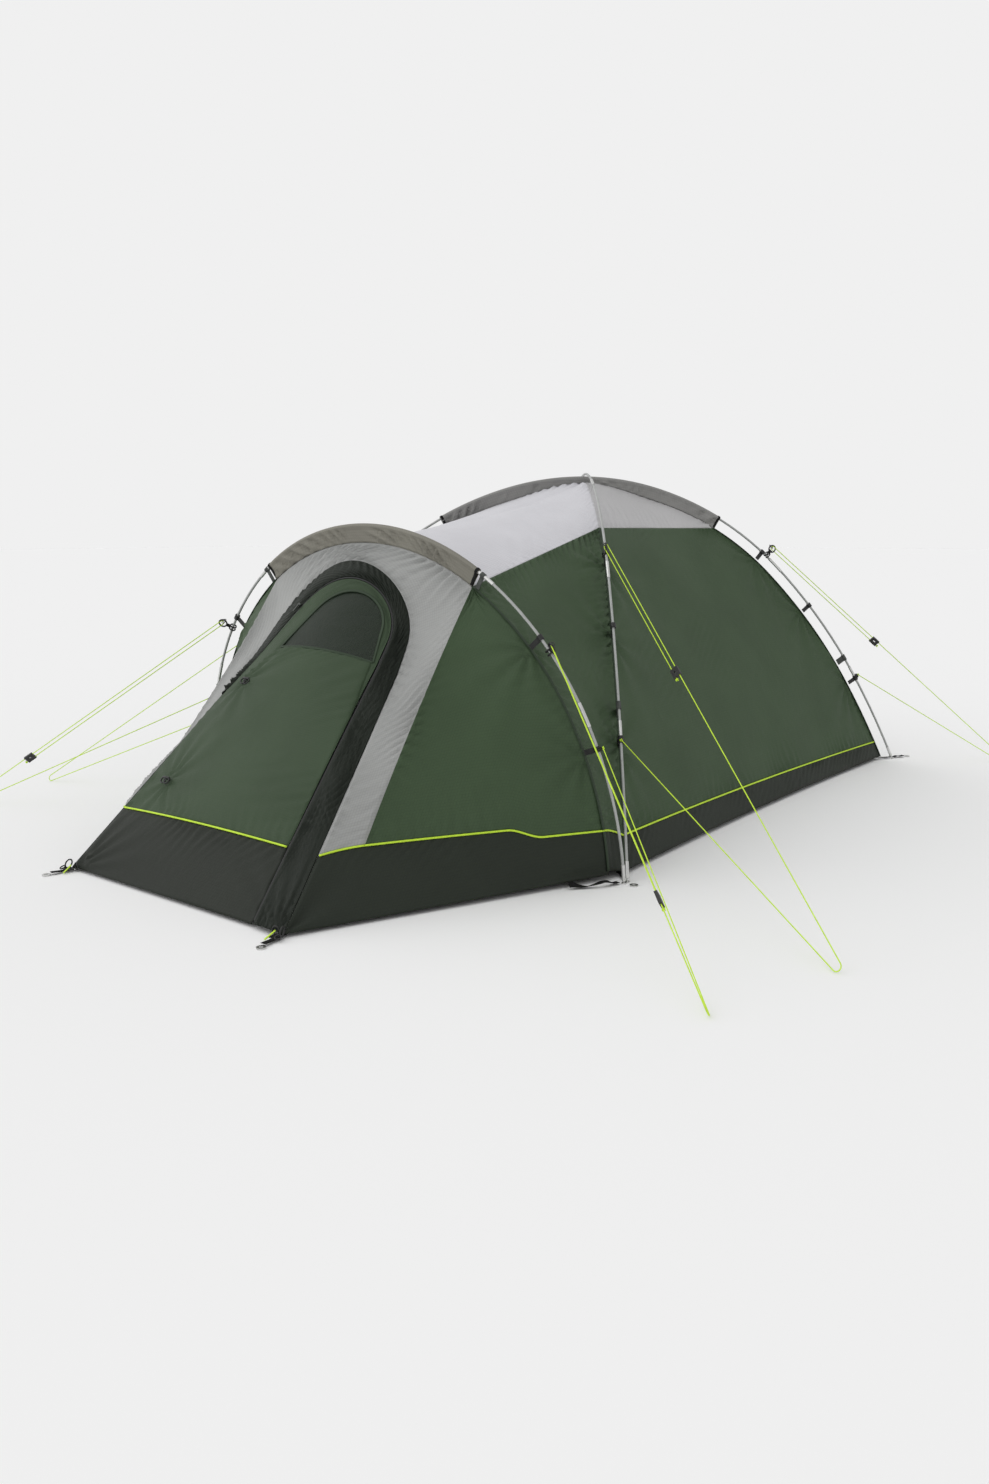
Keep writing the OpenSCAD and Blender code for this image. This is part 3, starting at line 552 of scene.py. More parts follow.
# ---- materials ----
MIX_FACTOR, MIX_FLOATS, MIX_COLOURS, MIX_COLOUR_OUT = 0, (2, 3), (6, 7), 2  # sockets of a Mix node
CLOTH_SPECULAR, WEBBING_SPECULAR = 0.25, 0.15
THREAD_SHARPNESS, THREAD_TINT, THREAD_RELIEF, CRINKLE_RELIEF = 14.0, (0.86, 0.86, 0.86, 1), 0.12, 1.2


def feed(tree, socket, value):
    """Set a socket, or link it where the value is another node's output."""
    if isinstance(value, bpy.types.NodeSocket):
        tree.links.new(value, socket)
    else:
        socket.default_value = value


def add(tree, kind, **values):
    """A node with its settings and its inputs by name."""
    node = tree.nodes.new(kind)
    for name, value in values.items():
        if hasattr(node, name):
            setattr(node, name, value)
        else:
            feed(tree, node.inputs[name], value)
    return node


def maths(tree, operation, *values):
    node = add(tree, "ShaderNodeMath", operation=operation)
    for socket, value in zip(node.inputs, values):
        feed(tree, socket, value)
    return node.outputs[0]


def new_material(name, color, rough, metal=0.0, specular=0.5):
    """A material, its node tree, its shader and its texture coordinates."""
    material = bpy.data.materials.new(name)
    material.use_nodes = True
    tree = material.node_tree
    shader = tree.nodes["Principled BSDF"]
    for socket, value in (("Base Color", (*color, 1)), ("Roughness", rough), ("Metallic", metal),
                          ("Specular IOR Level", specular)):
        shader.inputs[socket].default_value = value
    return material, tree, shader, tree.nodes.new("ShaderNodeTexCoord").outputs


def mottled(tree, color, vector, scale, spread):
    """The colour with slow patches a little darker and lighter."""
    noise = add(tree, "ShaderNodeTexNoise", Vector=vector, Scale=scale, Detail=4)
    ramp = add(tree, "ShaderNodeValToRGB", Fac=noise.outputs["Fac"])
    for stop, position, share in zip(ramp.color_ramp.elements, (0.3, 0.7), (1 - spread, 1 + spread)):
        stop.position = position
        stop.color = (*[min(1, c * share) for c in color], 1)
    return ramp.outputs["Color"]


def relief(tree, shader, height, strength, depth):
    node = add(tree, "ShaderNodeBump", Strength=strength, Distance=depth, Height=height)
    tree.links.new(node.outputs["Normal"], shader.inputs["Normal"])


def cloth_material(name, color, rough=0.62, grid=0.009, spread=0.07, alpha=1.0):
    """Coated ripstop: a square grid of thicker threads, grid metres apart in UV, and faint crinkles."""
    material, tree, shader, where = new_material(name, color, rough, specular=CLOTH_SPECULAR)
    shader.inputs["Alpha"].default_value = alpha
    threads = []
    for axis in ("X", "Y"):
        wave = add(tree, "ShaderNodeTexWave", bands_direction=axis, Scale=math.pi / 10 / grid,
                   Vector=where["UV"])
        threads.append(maths(tree, "POWER", wave.outputs["Fac"], THREAD_SHARPNESS))
    lines = maths(tree, "MAXIMUM", *threads)
    tint = add(tree, "ShaderNodeMix", data_type="RGBA", blend_type="MULTIPLY")
    feed(tree, tint.inputs[MIX_FACTOR], lines)
    feed(tree, tint.inputs[MIX_COLOURS[0]], mottled(tree, color, where["Object"], 5.0, spread))
    feed(tree, tint.inputs[MIX_COLOURS[1]], THREAD_TINT)
    tree.links.new(tint.outputs[MIX_COLOUR_OUT], shader.inputs["Base Color"])
    crease = add(tree, "ShaderNodeTexNoise", Scale=24.0, Detail=7.0, Roughness=0.62, Distortion=0.8,
                 Vector=where["Object"])
    crinkles = maths(tree, "MULTIPLY", crease.outputs["Fac"], CRINKLE_RELIEF)
    relief(tree, shader, maths(tree, "MULTIPLY_ADD", lines, THREAD_RELIEF, crinkles), 0.6, 0.0024)
    return material


def webbing_material(name, color):
    material, tree, shader, where = new_material(name, color, 0.85, specular=WEBBING_SPECULAR)
    tree.links.new(mottled(tree, color, where["Object"], 60.0, 0.25), shader.inputs["Base Color"])
    rib = add(tree, "ShaderNodeTexWave", bands_direction="DIAGONAL", Scale=170.0, Distortion=0.4,
              Vector=where["Object"])
    relief(tree, shader, rib.outputs["Fac"], 0.6, 0.0008)
    return material


def plain_material(name, color, rough, metal=0.0, grain=40.0):
    """Moulded plastic or metal with slight mottling and a fine surface grain."""
    material, tree, shader, where = new_material(name, color, rough, metal)
    tree.links.new(mottled(tree, color, where["Object"], grain, 0.08), shader.inputs["Base Color"])
    noise = add(tree, "ShaderNodeTexNoise", Scale=grain * 12, Detail=3.0, Vector=where["Object"])
    relief(tree, shader, noise.outputs["Fac"], 0.25, 0.0003)
    return material


GREEN = cloth_material("green_cloth", (0.050, 0.083, 0.041))
DOOR_GREEN = cloth_material("door_cloth", (0.043, 0.070, 0.036), grid=0.007)
# A darker green for trim; on the ridge tapes along the poles, its darkness is also painted shade of the
# folds there.
TRIM_AND_FOLD_SHADE = cloth_material("green_trim_and_fold_shade", (0.030, 0.048, 0.027), grid=0.004)
ROOF = cloth_material("roof_cloth", (0.67, 0.665, 0.70), rough=0.5, spread=0.03)
# The side and rear roof panels get a darker copy of the roof colour: painted shade, standing in for the
# light falling from the front left.
ROOF_SIDE_SHADE = cloth_material("roof_side_painted_shade_cloth", (0.52, 0.515, 0.52), rough=0.5, spread=0.03)
BAND = cloth_material("band_cloth", (0.345, 0.35, 0.342), rough=0.5, spread=0.05)
DARK = cloth_material("dark_cloth", (0.021, 0.027, 0.019), rough=0.6)
DOOR_DARK = cloth_material("door_dark_cloth", (0.016, 0.020, 0.014), rough=0.6)
COVER = cloth_material("cover_cloth", (0.010, 0.0145, 0.009), rough=0.6)
DOME_SLEEVE = cloth_material("dome_sleeve_cloth", (0.27, 0.267, 0.258), rough=0.55)
PORCH_SLEEVE = cloth_material("porch_sleeve_cloth", (0.225, 0.216, 0.182), rough=0.55)
INNER = cloth_material("inner_cloth", (0.60, 0.61, 0.60), rough=0.75, grid=0.006)
INNER_DOOR = cloth_material("inner_door_cloth", (0.42, 0.43, 0.42), rough=0.8, grid=0.004)
GROUND = cloth_material("groundsheet_cloth", (0.05, 0.055, 0.055), rough=0.5, grid=0.004)
FILM = cloth_material("window_film", (0.010, 0.019, 0.009), rough=0.45, grid=0.003, alpha=0.9)
NEON = plain_material("neon_cord", (0.56, 0.80, 0.04), 0.6, grain=90.0)
BLACK = plain_material("black_plastic", (0.012, 0.012, 0.012), 0.5)
STEEL = plain_material("plated_steel", (0.62, 0.62, 0.61), 0.28, metal=1.0)
FERRULE = plain_material("ferrule_metal", (0.66, 0.66, 0.65), 0.3, metal=0.9)
FIBRE = plain_material("pole_fibre", (0.40, 0.41, 0.40), 0.35, metal=0.35, grain=25.0)
ELASTIC = webbing_material("elastic_cord", (0.75, 0.75, 0.75))
WEBBING = webbing_material("black_webbing", (0.012, 0.012, 0.012))
STRAP = webbing_material("grey_strap", (0.085, 0.09, 0.085))
ZIP = plain_material("zip_coil", (0.008, 0.008, 0.008), 0.6, grain=200.0)
SLIDER = plain_material("slider_metal", (0.09, 0.095, 0.09), 0.35, metal=0.8)


# ---- cords first ----
def knot(place, way):
    """A small stopper knot: a tight trefoil of the line itself."""
    way = unit(np.asarray(way, float))
    side = unit(np.cross(way, UP + [0.1, 0, 0]))
    other = np.cross(way, side)
    t = np.linspace(0, WHOLE, 49)[:, None]
    size, wide, deep = 0.0024, 0.55, 0.9
    path = np.asarray(place) + size * ((np.sin(t) + 2 * np.sin(2 * t)) * side * wide
                                       + (np.cos(t) - 2 * np.cos(2 * t)) * other * wide
                                       - np.sin(3 * t) * way * deep)
    return tube(path, GUY_D * 0.42, 6, way + 0.01)


def make_guy(number, points, side):
    route = guy_route(*points) * [side, 1, 1]
    curve = bpy.data.curves.new(f"guy_cord_{number}", "CURVE")
    curve.dimensions = "3D"
    curve.bevel_depth = GUY_D / 2
    curve.bevel_resolution = 2
    curve.use_fill_caps = True
    spline = curve.splines.new("POLY")
    spline.points.add(len(route) - 1)
    spline.points.foreach_set("co", np.concatenate([route, np.ones((len(route), 1))], 1).ravel())
    obj = bpy.data.objects.new(curve.name, curve)
    bpy.context.scene.collection.objects.link(obj)
    curve.materials.append(NEON)
    settle(obj, "tent", f"guy_line_{number}")
    ends = [knot(route[0], route[0] - route[1]), knot(route[-1], route[-1] - route[-2])]
    knots = hardware(f"guy_knots_{number}", ends, NEON, "tent")


for n, points in enumerate(GUYS + GUYS):
    make_guy(n + 1, points, 1 if n < len(GUYS) else -1)

# ---- fly ----
CLIP_PLACES = [dome_at(f, FLY_GAP, 1, end) for f in DOME_CLIPS for end in (-1, 1)]
ARCH_PLACES = [arch_at(f, FLY_GAP, 1) for f in ARCH_CLIPS]


def seam_dents(cut, edges, seed, places=(), height=0.002, low=0.004, pull=0.005):
    return (puckers(cut, edges, seed=seed, height=height) + pulls(cut, places, pull)
            + drape(cut, low, seed=seed))


def fly(name, fn, k_range, material, slot, rests_on, edges, seed, pair=False, body="tent", fine=1.0,
        **dents):
    """One fly panel, or a pair: the right-hand one, and its mirror image on the left."""
    cut = Cut(fn, k_range, (0, 1), STEP * fine)
    for mirror in (False, True) if pair else (False,):
        node = name + ("_left" if mirror else "_right") * pair
        cloth_piece(node + "_cloth", [cut], [seam_dents(cut, edges, seed, **dents)], material, body,
                    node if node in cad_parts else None, mirror)


fly("roof_front", roof_cloth, (0, 1), ROOF, "roof_cloth", ["dome_sleeve", "porch_sleeve"], EVERY_EDGE, 3,
    height=0.0026)
# The side and rear roof panels wear the darker, painted-shade copy of the roof cloth.
for name, fn, seed, pair in (("roof", side_cloth, 4, True), ("roof_rear", rear_cloth, 5, False)):
    fly(name, fn, (ROOF_F, TOP_F), ROOF_SIDE_SHADE, "roof_cloth", ["dome_sleeve", "pole_clips"],
        (LOW_K, LOW_U, HIGH_U), seed, pair, height=0.0018)
fly("side", side_cloth, (side_line, ROOF_F), GREEN, "green_cloth", ["pole_clips", "pole_straps"],
    EVERY_EDGE, 6, True, places=CLIP_PLACES, pull=0.007)
fly("rear_panel", rear_cloth, (rear_line, ROOF_F), GREEN, "green_cloth", ["pole_clips", "pole_straps"],
    EVERY_EDGE, 7, places=[p * [side, 1, 1] for p in CLIP_PLACES[1::2] for side in (1, -1)])
fly("link", link_cloth, (link_line, 1), GREEN, "green_cloth", ["pole_clips"], (HIGH_K, LOW_U, HIGH_U), 8,
    True, fine=0.75, places=CLIP_PLACES[::2] + ARCH_PLACES, height=0.0044)
fly("porch_side", porch_side, (porch_line, 1), GREEN, "green_cloth", ["pole_clips", "porch_sleeve"],
    (LOW_K, LOW_U, HIGH_U), 9, True, places=ARCH_PLACES, height=0.0030, low=0.006, pull=0.007)
fly("link_skirt", link_cloth, (0, link_line), DARK, "dark_cloth", ["corner_webbing"], (HIGH_K,), 14, True)


def whole_band(k, u):
    """The grey band from the right-hand piping over the top to the left-hand one, k from 0 to 1."""
    a = np.abs(1 - 2 * k)
    p = band_cloth(lerp(1.0, band_line(u), a), u)
    p[..., 0] *= np.where(k < 0.5, 1, -1)
    return p


fly("porch_band", whole_band, (0, 1), BAND, "band_cloth", ["porch_sleeve"], (LOW_U, HIGH_U), 10, fine=0.6,
    height=0.0044, low=0.006)
fly("skirt", side_cloth, (FOOT_F, side_line), DARK, "dark_cloth", ["peg_eyelets", "corner_webbing"],
    (HIGH_K,), 11, True)
fly("skirt_rear", rear_cloth, (FOOT_F, rear_line), DARK, "dark_cloth", ["corner_webbing"], (HIGH_K,), 12)


def porch_hem(k, u):
    """The porch skirt runs from the zip cover round the corner to the arch in one strip."""
    turn = 0.13
    band = np.clip(u / turn, 0, 1)
    side = np.clip((u - turn) / (1 - turn), 0, 1)
    low = band_cloth(k * band_line(band), band)
    return np.where((u <= turn)[..., None], low, porch_side(k * porch_line(side), side))


fly("skirt_porch", porch_hem, (0, 1), DARK, "dark_cloth", ["corner_webbing"], (HIGH_K,), 13, True,
    places=[on_front(HALF_FRONT, 0)], pull=0.012)


# ---- piping and seam tapes ----
PIPING_R, PIPING_LIFT = 0.0029, 0.001


def piping_on(fn, line, start=0, count=90):
    """Piping on a surface, along one of its lines."""
    u = np.linspace(start, 1, count)
    k = line(u)
    near = 1e-3
    out = unit(np.cross(fn(k, np.minimum(u + near, 1)) - fn(k, np.maximum(u - near, 0)),
                        fn(k + near, u) - fn(k - near, u)))
    return tube(fn(k, u) + PIPING_LIFT * out, PIPING_R, 8)


right_piping = [piping_on(side_cloth, side_line), piping_on(porch_side, porch_line),
                piping_on(link_cloth, link_line, count=12), piping_on(band_cloth, band_line, 0.02, 20)]
hardware("piping_cords", both_sides(right_piping) + [piping_on(rear_cloth, rear_line)], NEON, "tent",
         "fly_piping")


def tape(path, across, width, height, flat_on=False):
    """A flat sewn tape along points, slightly crowned; with flat_on, across is the way it faces."""
    path = np.asarray(path, float)
    way = unit(np.gradient(path, axis=0))
    side = unit(across - (across * way).sum(-1, keepdims=True) * way)
    out = np.cross(way, side)
    if flat_on:
        side, out = -out, side
    section = [(-0.5, 0), (-0.35, 0.9), (0.35, 0.9), (0.5, 0), (0.35, -0.4), (-0.35, -0.4)]
    rings = np.stack([path + side * (a * width) + out * (b * height) for a, b in section], 1)
    return rings.reshape(-1, 3), ring_faces(len(path), len(section))


# The sewn ridge under each bare pole: a real tape, in a darker green that also paints the shade of the fold
# along the pole
RIDGE_GAP, RIDGE_SIZE = FLY_GAP - 0.0005, (0.012, 0.0016)
ARCH_ACROSS = np.array([0.0, 1.0, math.tan(PORCH_LEAN)])
dome_f, arch_f = np.linspace(FOOT_F, ROOF_F, 120), np.linspace(FOOT_F, ARCH_ROOF_F, 100)
ridges = []
for side in (1, -1):
    for end in (1, -1):
        across = np.array([side * DOME_L, -end * DOME_W, 0.0]) / 2 / HALF_SPAN
        ridges.append(tape(dome_at(dome_f, RIDGE_GAP, side, end), across[None], *RIDGE_SIZE))
    ridges.append(tape(arch_at(arch_f, RIDGE_GAP, side), ARCH_ACROSS[None], *RIDGE_SIZE))
hardware("ridge_shade_tapes", ridges, TRIM_AND_FOLD_SHADE, "tent")


# ---- sleeves ----
SLEEVE_R, SLEEVE_TURN, SLEEVE_OVER, SEAM_HALF = 0.0078, math.radians(140), 0.4, 0.0022
PLEAT_PITCH, PLEAT_H = 0.052, 0.0060


def sleeve_section(drop, w):
    """The folded sleeve across, drop deep: w from one bottom edge over the pole to the other."""
    s = np.abs(2 * w - 1)
    over = s < SLEEVE_OVER
    angle = np.minimum(s / SLEEVE_OVER, 1) * SLEEVE_TURN
    t = np.clip((s - SLEEVE_OVER) / (1 - SLEEVE_OVER), 0, 1)
    end_out, end_across = SLEEVE_R * math.cos(SLEEVE_TURN), SLEEVE_R * math.sin(SLEEVE_TURN)
    out = np.where(over, SLEEVE_R * np.cos(angle), lerp(end_out, -drop, t))
    across = np.where(over, SLEEVE_R * np.sin(angle), lerp(end_across, SEAM_HALF, t ** 0.6))
    return out, across * np.sign(w - 0.5)


def sleeve(name, at, roof_f, across, drop, below, material, seed):
    """at gives the pole's points from f, inset and side; drop gives the sleeve's depth from f."""
    def place(t, inset):
        return at(1 - np.abs(t) * (1 - roof_f), inset, np.where(t >= 0, 1, -1))

    def centre(t):
        return place(t, 0) - UP * below

    def surface(w, t):
        out, side = sleeve_section(drop(1 - np.abs(t) * (1 - roof_f)), w)
        return centre(t) + out[..., None] * unit(place(t, -0.1) - place(t, 0)) + side[..., None] * across

    cut = Cut(surface, (0, 1), (-1, 1), STEP * 0.45)
    w = np.abs(2 * cut.k - 1)
    phase = WHOLE * (cut.along + 0.9 * cut.up) / PLEAT_PITCH + 3.5 * waves(cut.p, 0.25, seed)
    strength = np.clip(waves(cut.p, 0.18, seed + 9) + 0.7, 0.15, 1.3)
    dents = PLEAT_H * ((np.sin(phase) + 0.4 * np.sin(2.3 * phase)) * strength) * smooth((w - 0.3) / 0.3)
    cloth_piece(name + "_cloth", [cut], [dents], material, "tent", name)
    w = np.linspace(0.02, 0.98, 60)
    ends = []
    for t in (-0.99, 0.99):
        path = surface(w, t + 0 * w)
        proud = 0.001 * unit(path - centre(np.array(t)))
        ends.append(tape(path + proud, surface(w, t + 0.01 + 0 * w) - path, 0.010, 0.0014))
    hardware(name + "_end_tapes", ends, WEBBING, "tent")


sleeve("dome_sleeve", lambda f, inset, side: dome_at(f, inset, side, side), ROOF_F,
       unit(np.array([DOME_L, -DOME_W, 0.0])), lambda f: gap_at(f) - CROSS_GAP, CROSS_GAP,
       DOME_SLEEVE, 21)
sleeve("porch_sleeve", arch_at, ARCH_ROOF_F, unit(ARCH_ACROSS), lambda f: FLY_GAP + 0 * f, 0.0,
       PORCH_SLEEVE, 22)


# ---- porch door, its frame and its window ----
DOOR_C, DOOR_RIGHT = (0.040, COVER_Q + 0.028), HALF_FRONT - 0.118
DOOR_TURN, DOOR_TOP = 0.640, 1.07  # up the slope, where the left edge turns into the arch, and the top
DOOR_TOUCH = touch_point((DOOR_RIGHT, 0), DOOR_C, DOOR_R)
WINDOW_X, WINDOW_Q, WINDOW_C, WINDOW_R = (-0.110, 0.235), 0.815, (0.080, 0.895), 0.132
WINDOW_LAP, RIM_W, RIM_H, RIM_LIFT = 0.006, 0.008, 0.0009, 0.0006


def door_left_x(q):
    return lerp(0.001 - HALF_FRONT, 0.012 - edge_half(DOOR_TURN), q / DOOR_TURN)


def door_right_x(q):
    return lerp(DOOR_RIGHT, DOOR_TOUCH[0], q / DOOR_TOUCH[1]) - 0.001


def door_edge(t, grow, foot=0.0):
    return arched(t, (door_left_x(DOOR_TURN) - grow, DOOR_TURN), (door_right_x(foot) + grow, foot),
                  DOOR_C, DOOR_R + grow)


def window_edge(t, grow):
    return arched(t, (WINDOW_X[0] - grow, WINDOW_Q), (WINDOW_X[1] + grow, WINDOW_Q), WINDOW_C,
                  WINDOW_R + grow)


def on_door(x, q, lift=0.0):
    """The closed door swells a little between its zip and its hinge."""
    swell, half = 0.008, 0.45
    across = np.cos(np.clip(x / half, -1, 1) * math.pi / 2)
    return on_front(x, q, swell * np.sin(math.pi * np.clip(q / DOOR_TOP, 0, 1)) * across + lift)


def door_hem(k, u):
    q = lerp(0.0, DOOR_SPLIT, k)
    return on_door(lerp(door_left_x(q), door_right_x(q), u), q)


def door_body(k, u):
    """The door from its skirt up to the window, drawn in to the window's width at the top."""
    q = lerp(DOOR_SPLIT, WINDOW_Q, k)
    t = np.clip((q - DOOR_TURN) / (WINDOW_Q - DOOR_TURN), 0, 1)
    left = lerp(door_left_x(np.minimum(q, DOOR_TURN)), WINDOW_X[0], t)
    right = lerp(door_right_x(np.minimum(q, DOOR_TURN)), WINDOW_X[1], t)
    return on_door(lerp(left, right, u), q)


def door_ring(k, u):
    (x0, q0), (x1, q1) = window_edge(u, 0), door_edge(u, -0.001, DOOR_TURN)
    return on_door(lerp(x0, x1, k), lerp(q0, q1, k))


def sill_x(u):
    return lerp(WINDOW_X[0] - WINDOW_LAP, WINDOW_X[1] + WINDOW_LAP, u)


def window_sheet(k, u):
    x, q = window_edge(u, WINDOW_LAP)
    return on_door(lerp(sill_x(u), x, k), lerp(WINDOW_Q - 0.008, q, k), -0.002)


RIGHT_FOOT, LEFT_FOOT = on_front(HALF_FRONT - 0.03, 0.0), on_front(0.02 - HALF_FRONT, 0.0)
TOGGLE_SPOTS = (-0.281, 0.332), (-0.188, 0.695)
TOGGLES = [on_door(x, q) for x, q in TOGGLE_SPOTS]
door_cuts = [Cut(door_body, (0, 1), (0, 1), STEP), Cut(door_ring, (0, 1), (0.001, 0.999), STEP * 0.7)]
door_dents = [seam_dents(door_cuts[0], EVERY_EDGE, 31, TOGGLES, low=0.005),
              puckers(door_cuts[1], (LOW_K, HIGH_K), 0.0016, 0.03, 0.026, seed=32)]
cloth_piece("door_panel_cloth", door_cuts, door_dents, DOOR_GREEN, "porch_door", "door_panel")
film = Cut(window_sheet, (0, 1), (0.002, 0.998), STEP)
cloth_piece("door_window_film", [film], [drape(film, 0.002, 0.3, 33)], FILM, "porch_door", "door_window")
hem = Cut(door_hem, (0, 1), (0, 1), STEP)
hem_dents = seam_dents(hem, (HIGH_K,), 34) + pulls(hem, [RIGHT_FOOT, LEFT_FOOT], 0.008, 0.10, 16)
cloth_piece("door_skirt_cloth", [hem], [hem_dents], DOOR_DARK, "porch_door", "door_skirt")


def zip_flap(k, u):
    """The flap over the zip: k from its inner edge out, u from the left over the top to the right foot."""
    x0, q0 = door_edge(u, 0.0065)
    x1, q1 = arched(u, (0.003 - edge_half(DOOR_TURN), DOOR_TURN), (HALF_FRONT - 0.001, 0), (0, COVER_Q),
                    COVER_R - 0.001)
    low, swell, tuck = 0.003, 0.004, 0.002
    lift = low + swell * bump(k) - tuck * smooth((k - 0.8) / 0.2)
    return on_front(lerp(x0, x1, k), lerp(q0, q1, k), lift)


flap = Cut(zip_flap, (0, 1), (0.02, 1), STEP * 0.6)
flap_dents = (puckers(flap, (LOW_K, HIGH_K), 0.0036, 0.04, 0.028, 0.9, seed=35)
              + pulls(flap, [RIGHT_FOOT], 0.005, 0.12, 12) + drape(flap, 0.002, 0.3, 38))
cloth_piece("zip_cover_cloth", [flap], [flap_dents], COVER, "tent", "zip_cover")

# Piping and sewn edges that move with the door
along = np.linspace(0.004, 0.996, 70)
split = on_door(lerp(door_left_x(DOOR_SPLIT), door_right_x(DOOR_SPLIT), along), DOOR_SPLIT, PIPING_LIFT)
hardware("door_piping", [tube(split, PIPING_R, 8)], NEON, "porch_door")
rim = [on_door(*window_edge(np.linspace(0.0, 1.0, 160), RIM_W / 2), RIM_LIFT),
       on_door(sill_x(along), WINDOW_Q, RIM_LIFT)]
hardware("window_rim", [tape(path, FRONT_OUT[None], RIM_W, RIM_H, flat_on=True) for path in rim], TRIM_AND_FOLD_SHADE,
         "porch_door")


# ---- inner tent ----
IN_W, IN_L, IN_Z, IN_TOP = (0.76, 0.42), (0.995, 0.50), (0.06, 0.80), 1.03
IN_RAKE = math.atan2(IN_Z[1] - IN_Z[0], IN_L[0] - IN_L[1])
IN_SLOPE = math.hypot(IN_Z[1] - IN_Z[0], IN_L[0] - IN_L[1])
IN_DOOR_R, IN_DOOR_FLARE, IN_DOOR_Q, IN_SAG = 0.265, 0.055, (0.04, 0.43), 0.012


def in_door_edge(t):
    foot = IN_DOOR_R + IN_DOOR_FLARE
    return arched(t, (-foot, IN_DOOR_Q[0]), (foot, IN_DOOR_Q[0]), (0, IN_DOOR_Q[1]), IN_DOOR_R)


def on_wall(x, q, lift=0.0):
    x, q, lift = np.broadcast_arrays(x, q, lift)
    p = point(x, DOME_Y - IN_L[0] + q * math.cos(IN_RAKE), IN_Z[0] + q * math.sin(IN_RAKE))
    return p + lift[..., None] * np.array([0, -math.sin(IN_RAKE), math.cos(IN_RAKE)])


def inner_side(k, u):
    return point(lerp(*IN_W, k) - IN_SAG * bump(k) * bump(u), DOME_Y + (2 * u - 1) * lerp(*IN_L, k),
                 lerp(*IN_Z, k))


def inner_back(k, u):
    return point((1 - 2 * u) * lerp(*IN_W, k), DOME_Y + lerp(*IN_L, k) - IN_SAG * bump(k) * bump(u),
                 lerp(*IN_Z, k))


def inner_top(k, u):
    a, b = 2 * u - 1, 2 * k - 1
    rise = (IN_TOP - IN_Z[1]) * (1 - a * a) * (1 - b * b)
    return point(a * IN_W[1], DOME_Y + b * IN_L[1], IN_Z[1] + 0.004 + rise)


def inner_front(k, u):
    """The wall round the inner door, u from the door's right foot over its top to its left foot."""
    centre, gap = IN_DOOR_Q[1], 0.006
    angle = lerp(-0.5, math.pi + 0.5, u)
    x, q = in_door_edge(np.linspace(0, 1, 3000))
    a = np.arctan2(q - centre, x)
    a = np.where(a < -math.pi / 2, a + WHOLE, a)
    keep = q >= IN_DOOR_Q[0]
    order = np.argsort(a[keep])
    inner = np.interp(angle, a[keep][order], np.hypot(x, q - centre)[keep][order]) + gap
    every = np.linspace(-0.8, math.pi + 0.8, 4000)
    r = lerp(inner, np.interp(angle, every, outer_reach(every)), k)
    return on_wall(r * np.cos(angle), centre + r * np.sin(angle))


def outer_reach(angle):
    """From the inner door's arch centre to the edge of the front wall, in each direction."""
    hold, far, tiny = 0.002, 1e3, 1e-6
    rise, run = np.sin(angle), np.abs(np.cos(angle))
    top = np.where(rise > tiny, (IN_SLOPE - IN_DOOR_Q[1] - hold) / np.maximum(rise, tiny), far)
    bottom = np.where(rise < -tiny, (hold - IN_DOOR_Q[1]) / np.minimum(rise, -tiny), far)
    slope = (IN_W[0] - IN_W[1]) / IN_SLOPE
    side = (IN_W[0] - 0.003 - slope * IN_DOOR_Q[1]) / np.maximum(run + slope * rise, tiny)
    return np.minimum(np.minimum(top, bottom), side)


def inner_door_rows(q, u):
    edge_x, edge_q = in_door_edge(np.linspace(1, 0.5, 800))
    x = np.interp(q, edge_q, edge_x) * (2 * u - 1)
    return on_wall(x, q, 0.006 * np.sin(math.pi * np.clip(q / 0.7, 0, 1)) * np.cos(x / 0.33 * 1.4))


TRAY_FLAT, TRAY_WALL, TRAY_Z = 0.93, 0.053, 0.003  # share of the grid that lies flat, wall height, floor


def groundsheet_tray(k, u):
    """The groundsheet: flat, with a low wall turned up all round."""
    a, b = 2 * u - 1, 2 * k - 1
    ring = np.maximum(np.abs(a), np.abs(b))
    out = np.maximum(ring, TRAY_FLAT)
    return point(a / out * IN_W[0], DOME_Y + b / out * IN_L[0],
                 TRAY_Z + TRAY_WALL * np.clip((ring - TRAY_FLAT) / (1 - TRAY_FLAT), 0, 1))


for name, fn in (("inner", inner_side), ("inner_rear", inner_back), ("inner_roof", inner_top),
                 ("inner_front", inner_front)):
    fly(name, fn, (0, 1), INNER, "inner_cloth", ["groundsheet"], EVERY_EDGE, 50, fn is inner_side)
tray = Cut(groundsheet_tray, (0, 1), (0, 1), STEP)
tray_dents = puckers(tray, EVERY_EDGE, 0.001, seed=57) + drape(tray, 0.0015, seed=57)
cloth_piece("groundsheet_cloth", [tray], [tray_dents], GROUND, "tent", "groundsheet")
fly("inner_door", inner_door_rows, (IN_DOOR_Q[0], IN_DOOR_Q[1] + IN_DOOR_R - 0.003), INNER_DOOR,
    "inner_door_cloth", ["inner_zip"], (LOW_K, HIGH_K), 55, body="inner_door")


# ---- rings, ties and loose webbing ----
def ring_tube(centre, radius, wire, x, y):
    turn = np.linspace(0, WHOLE, 33)[:, None]
    return tube(centre + radius * (np.cos(turn) * x + np.sin(turn) * y), wire, 8, np.cross(x, y) + 1e-4)


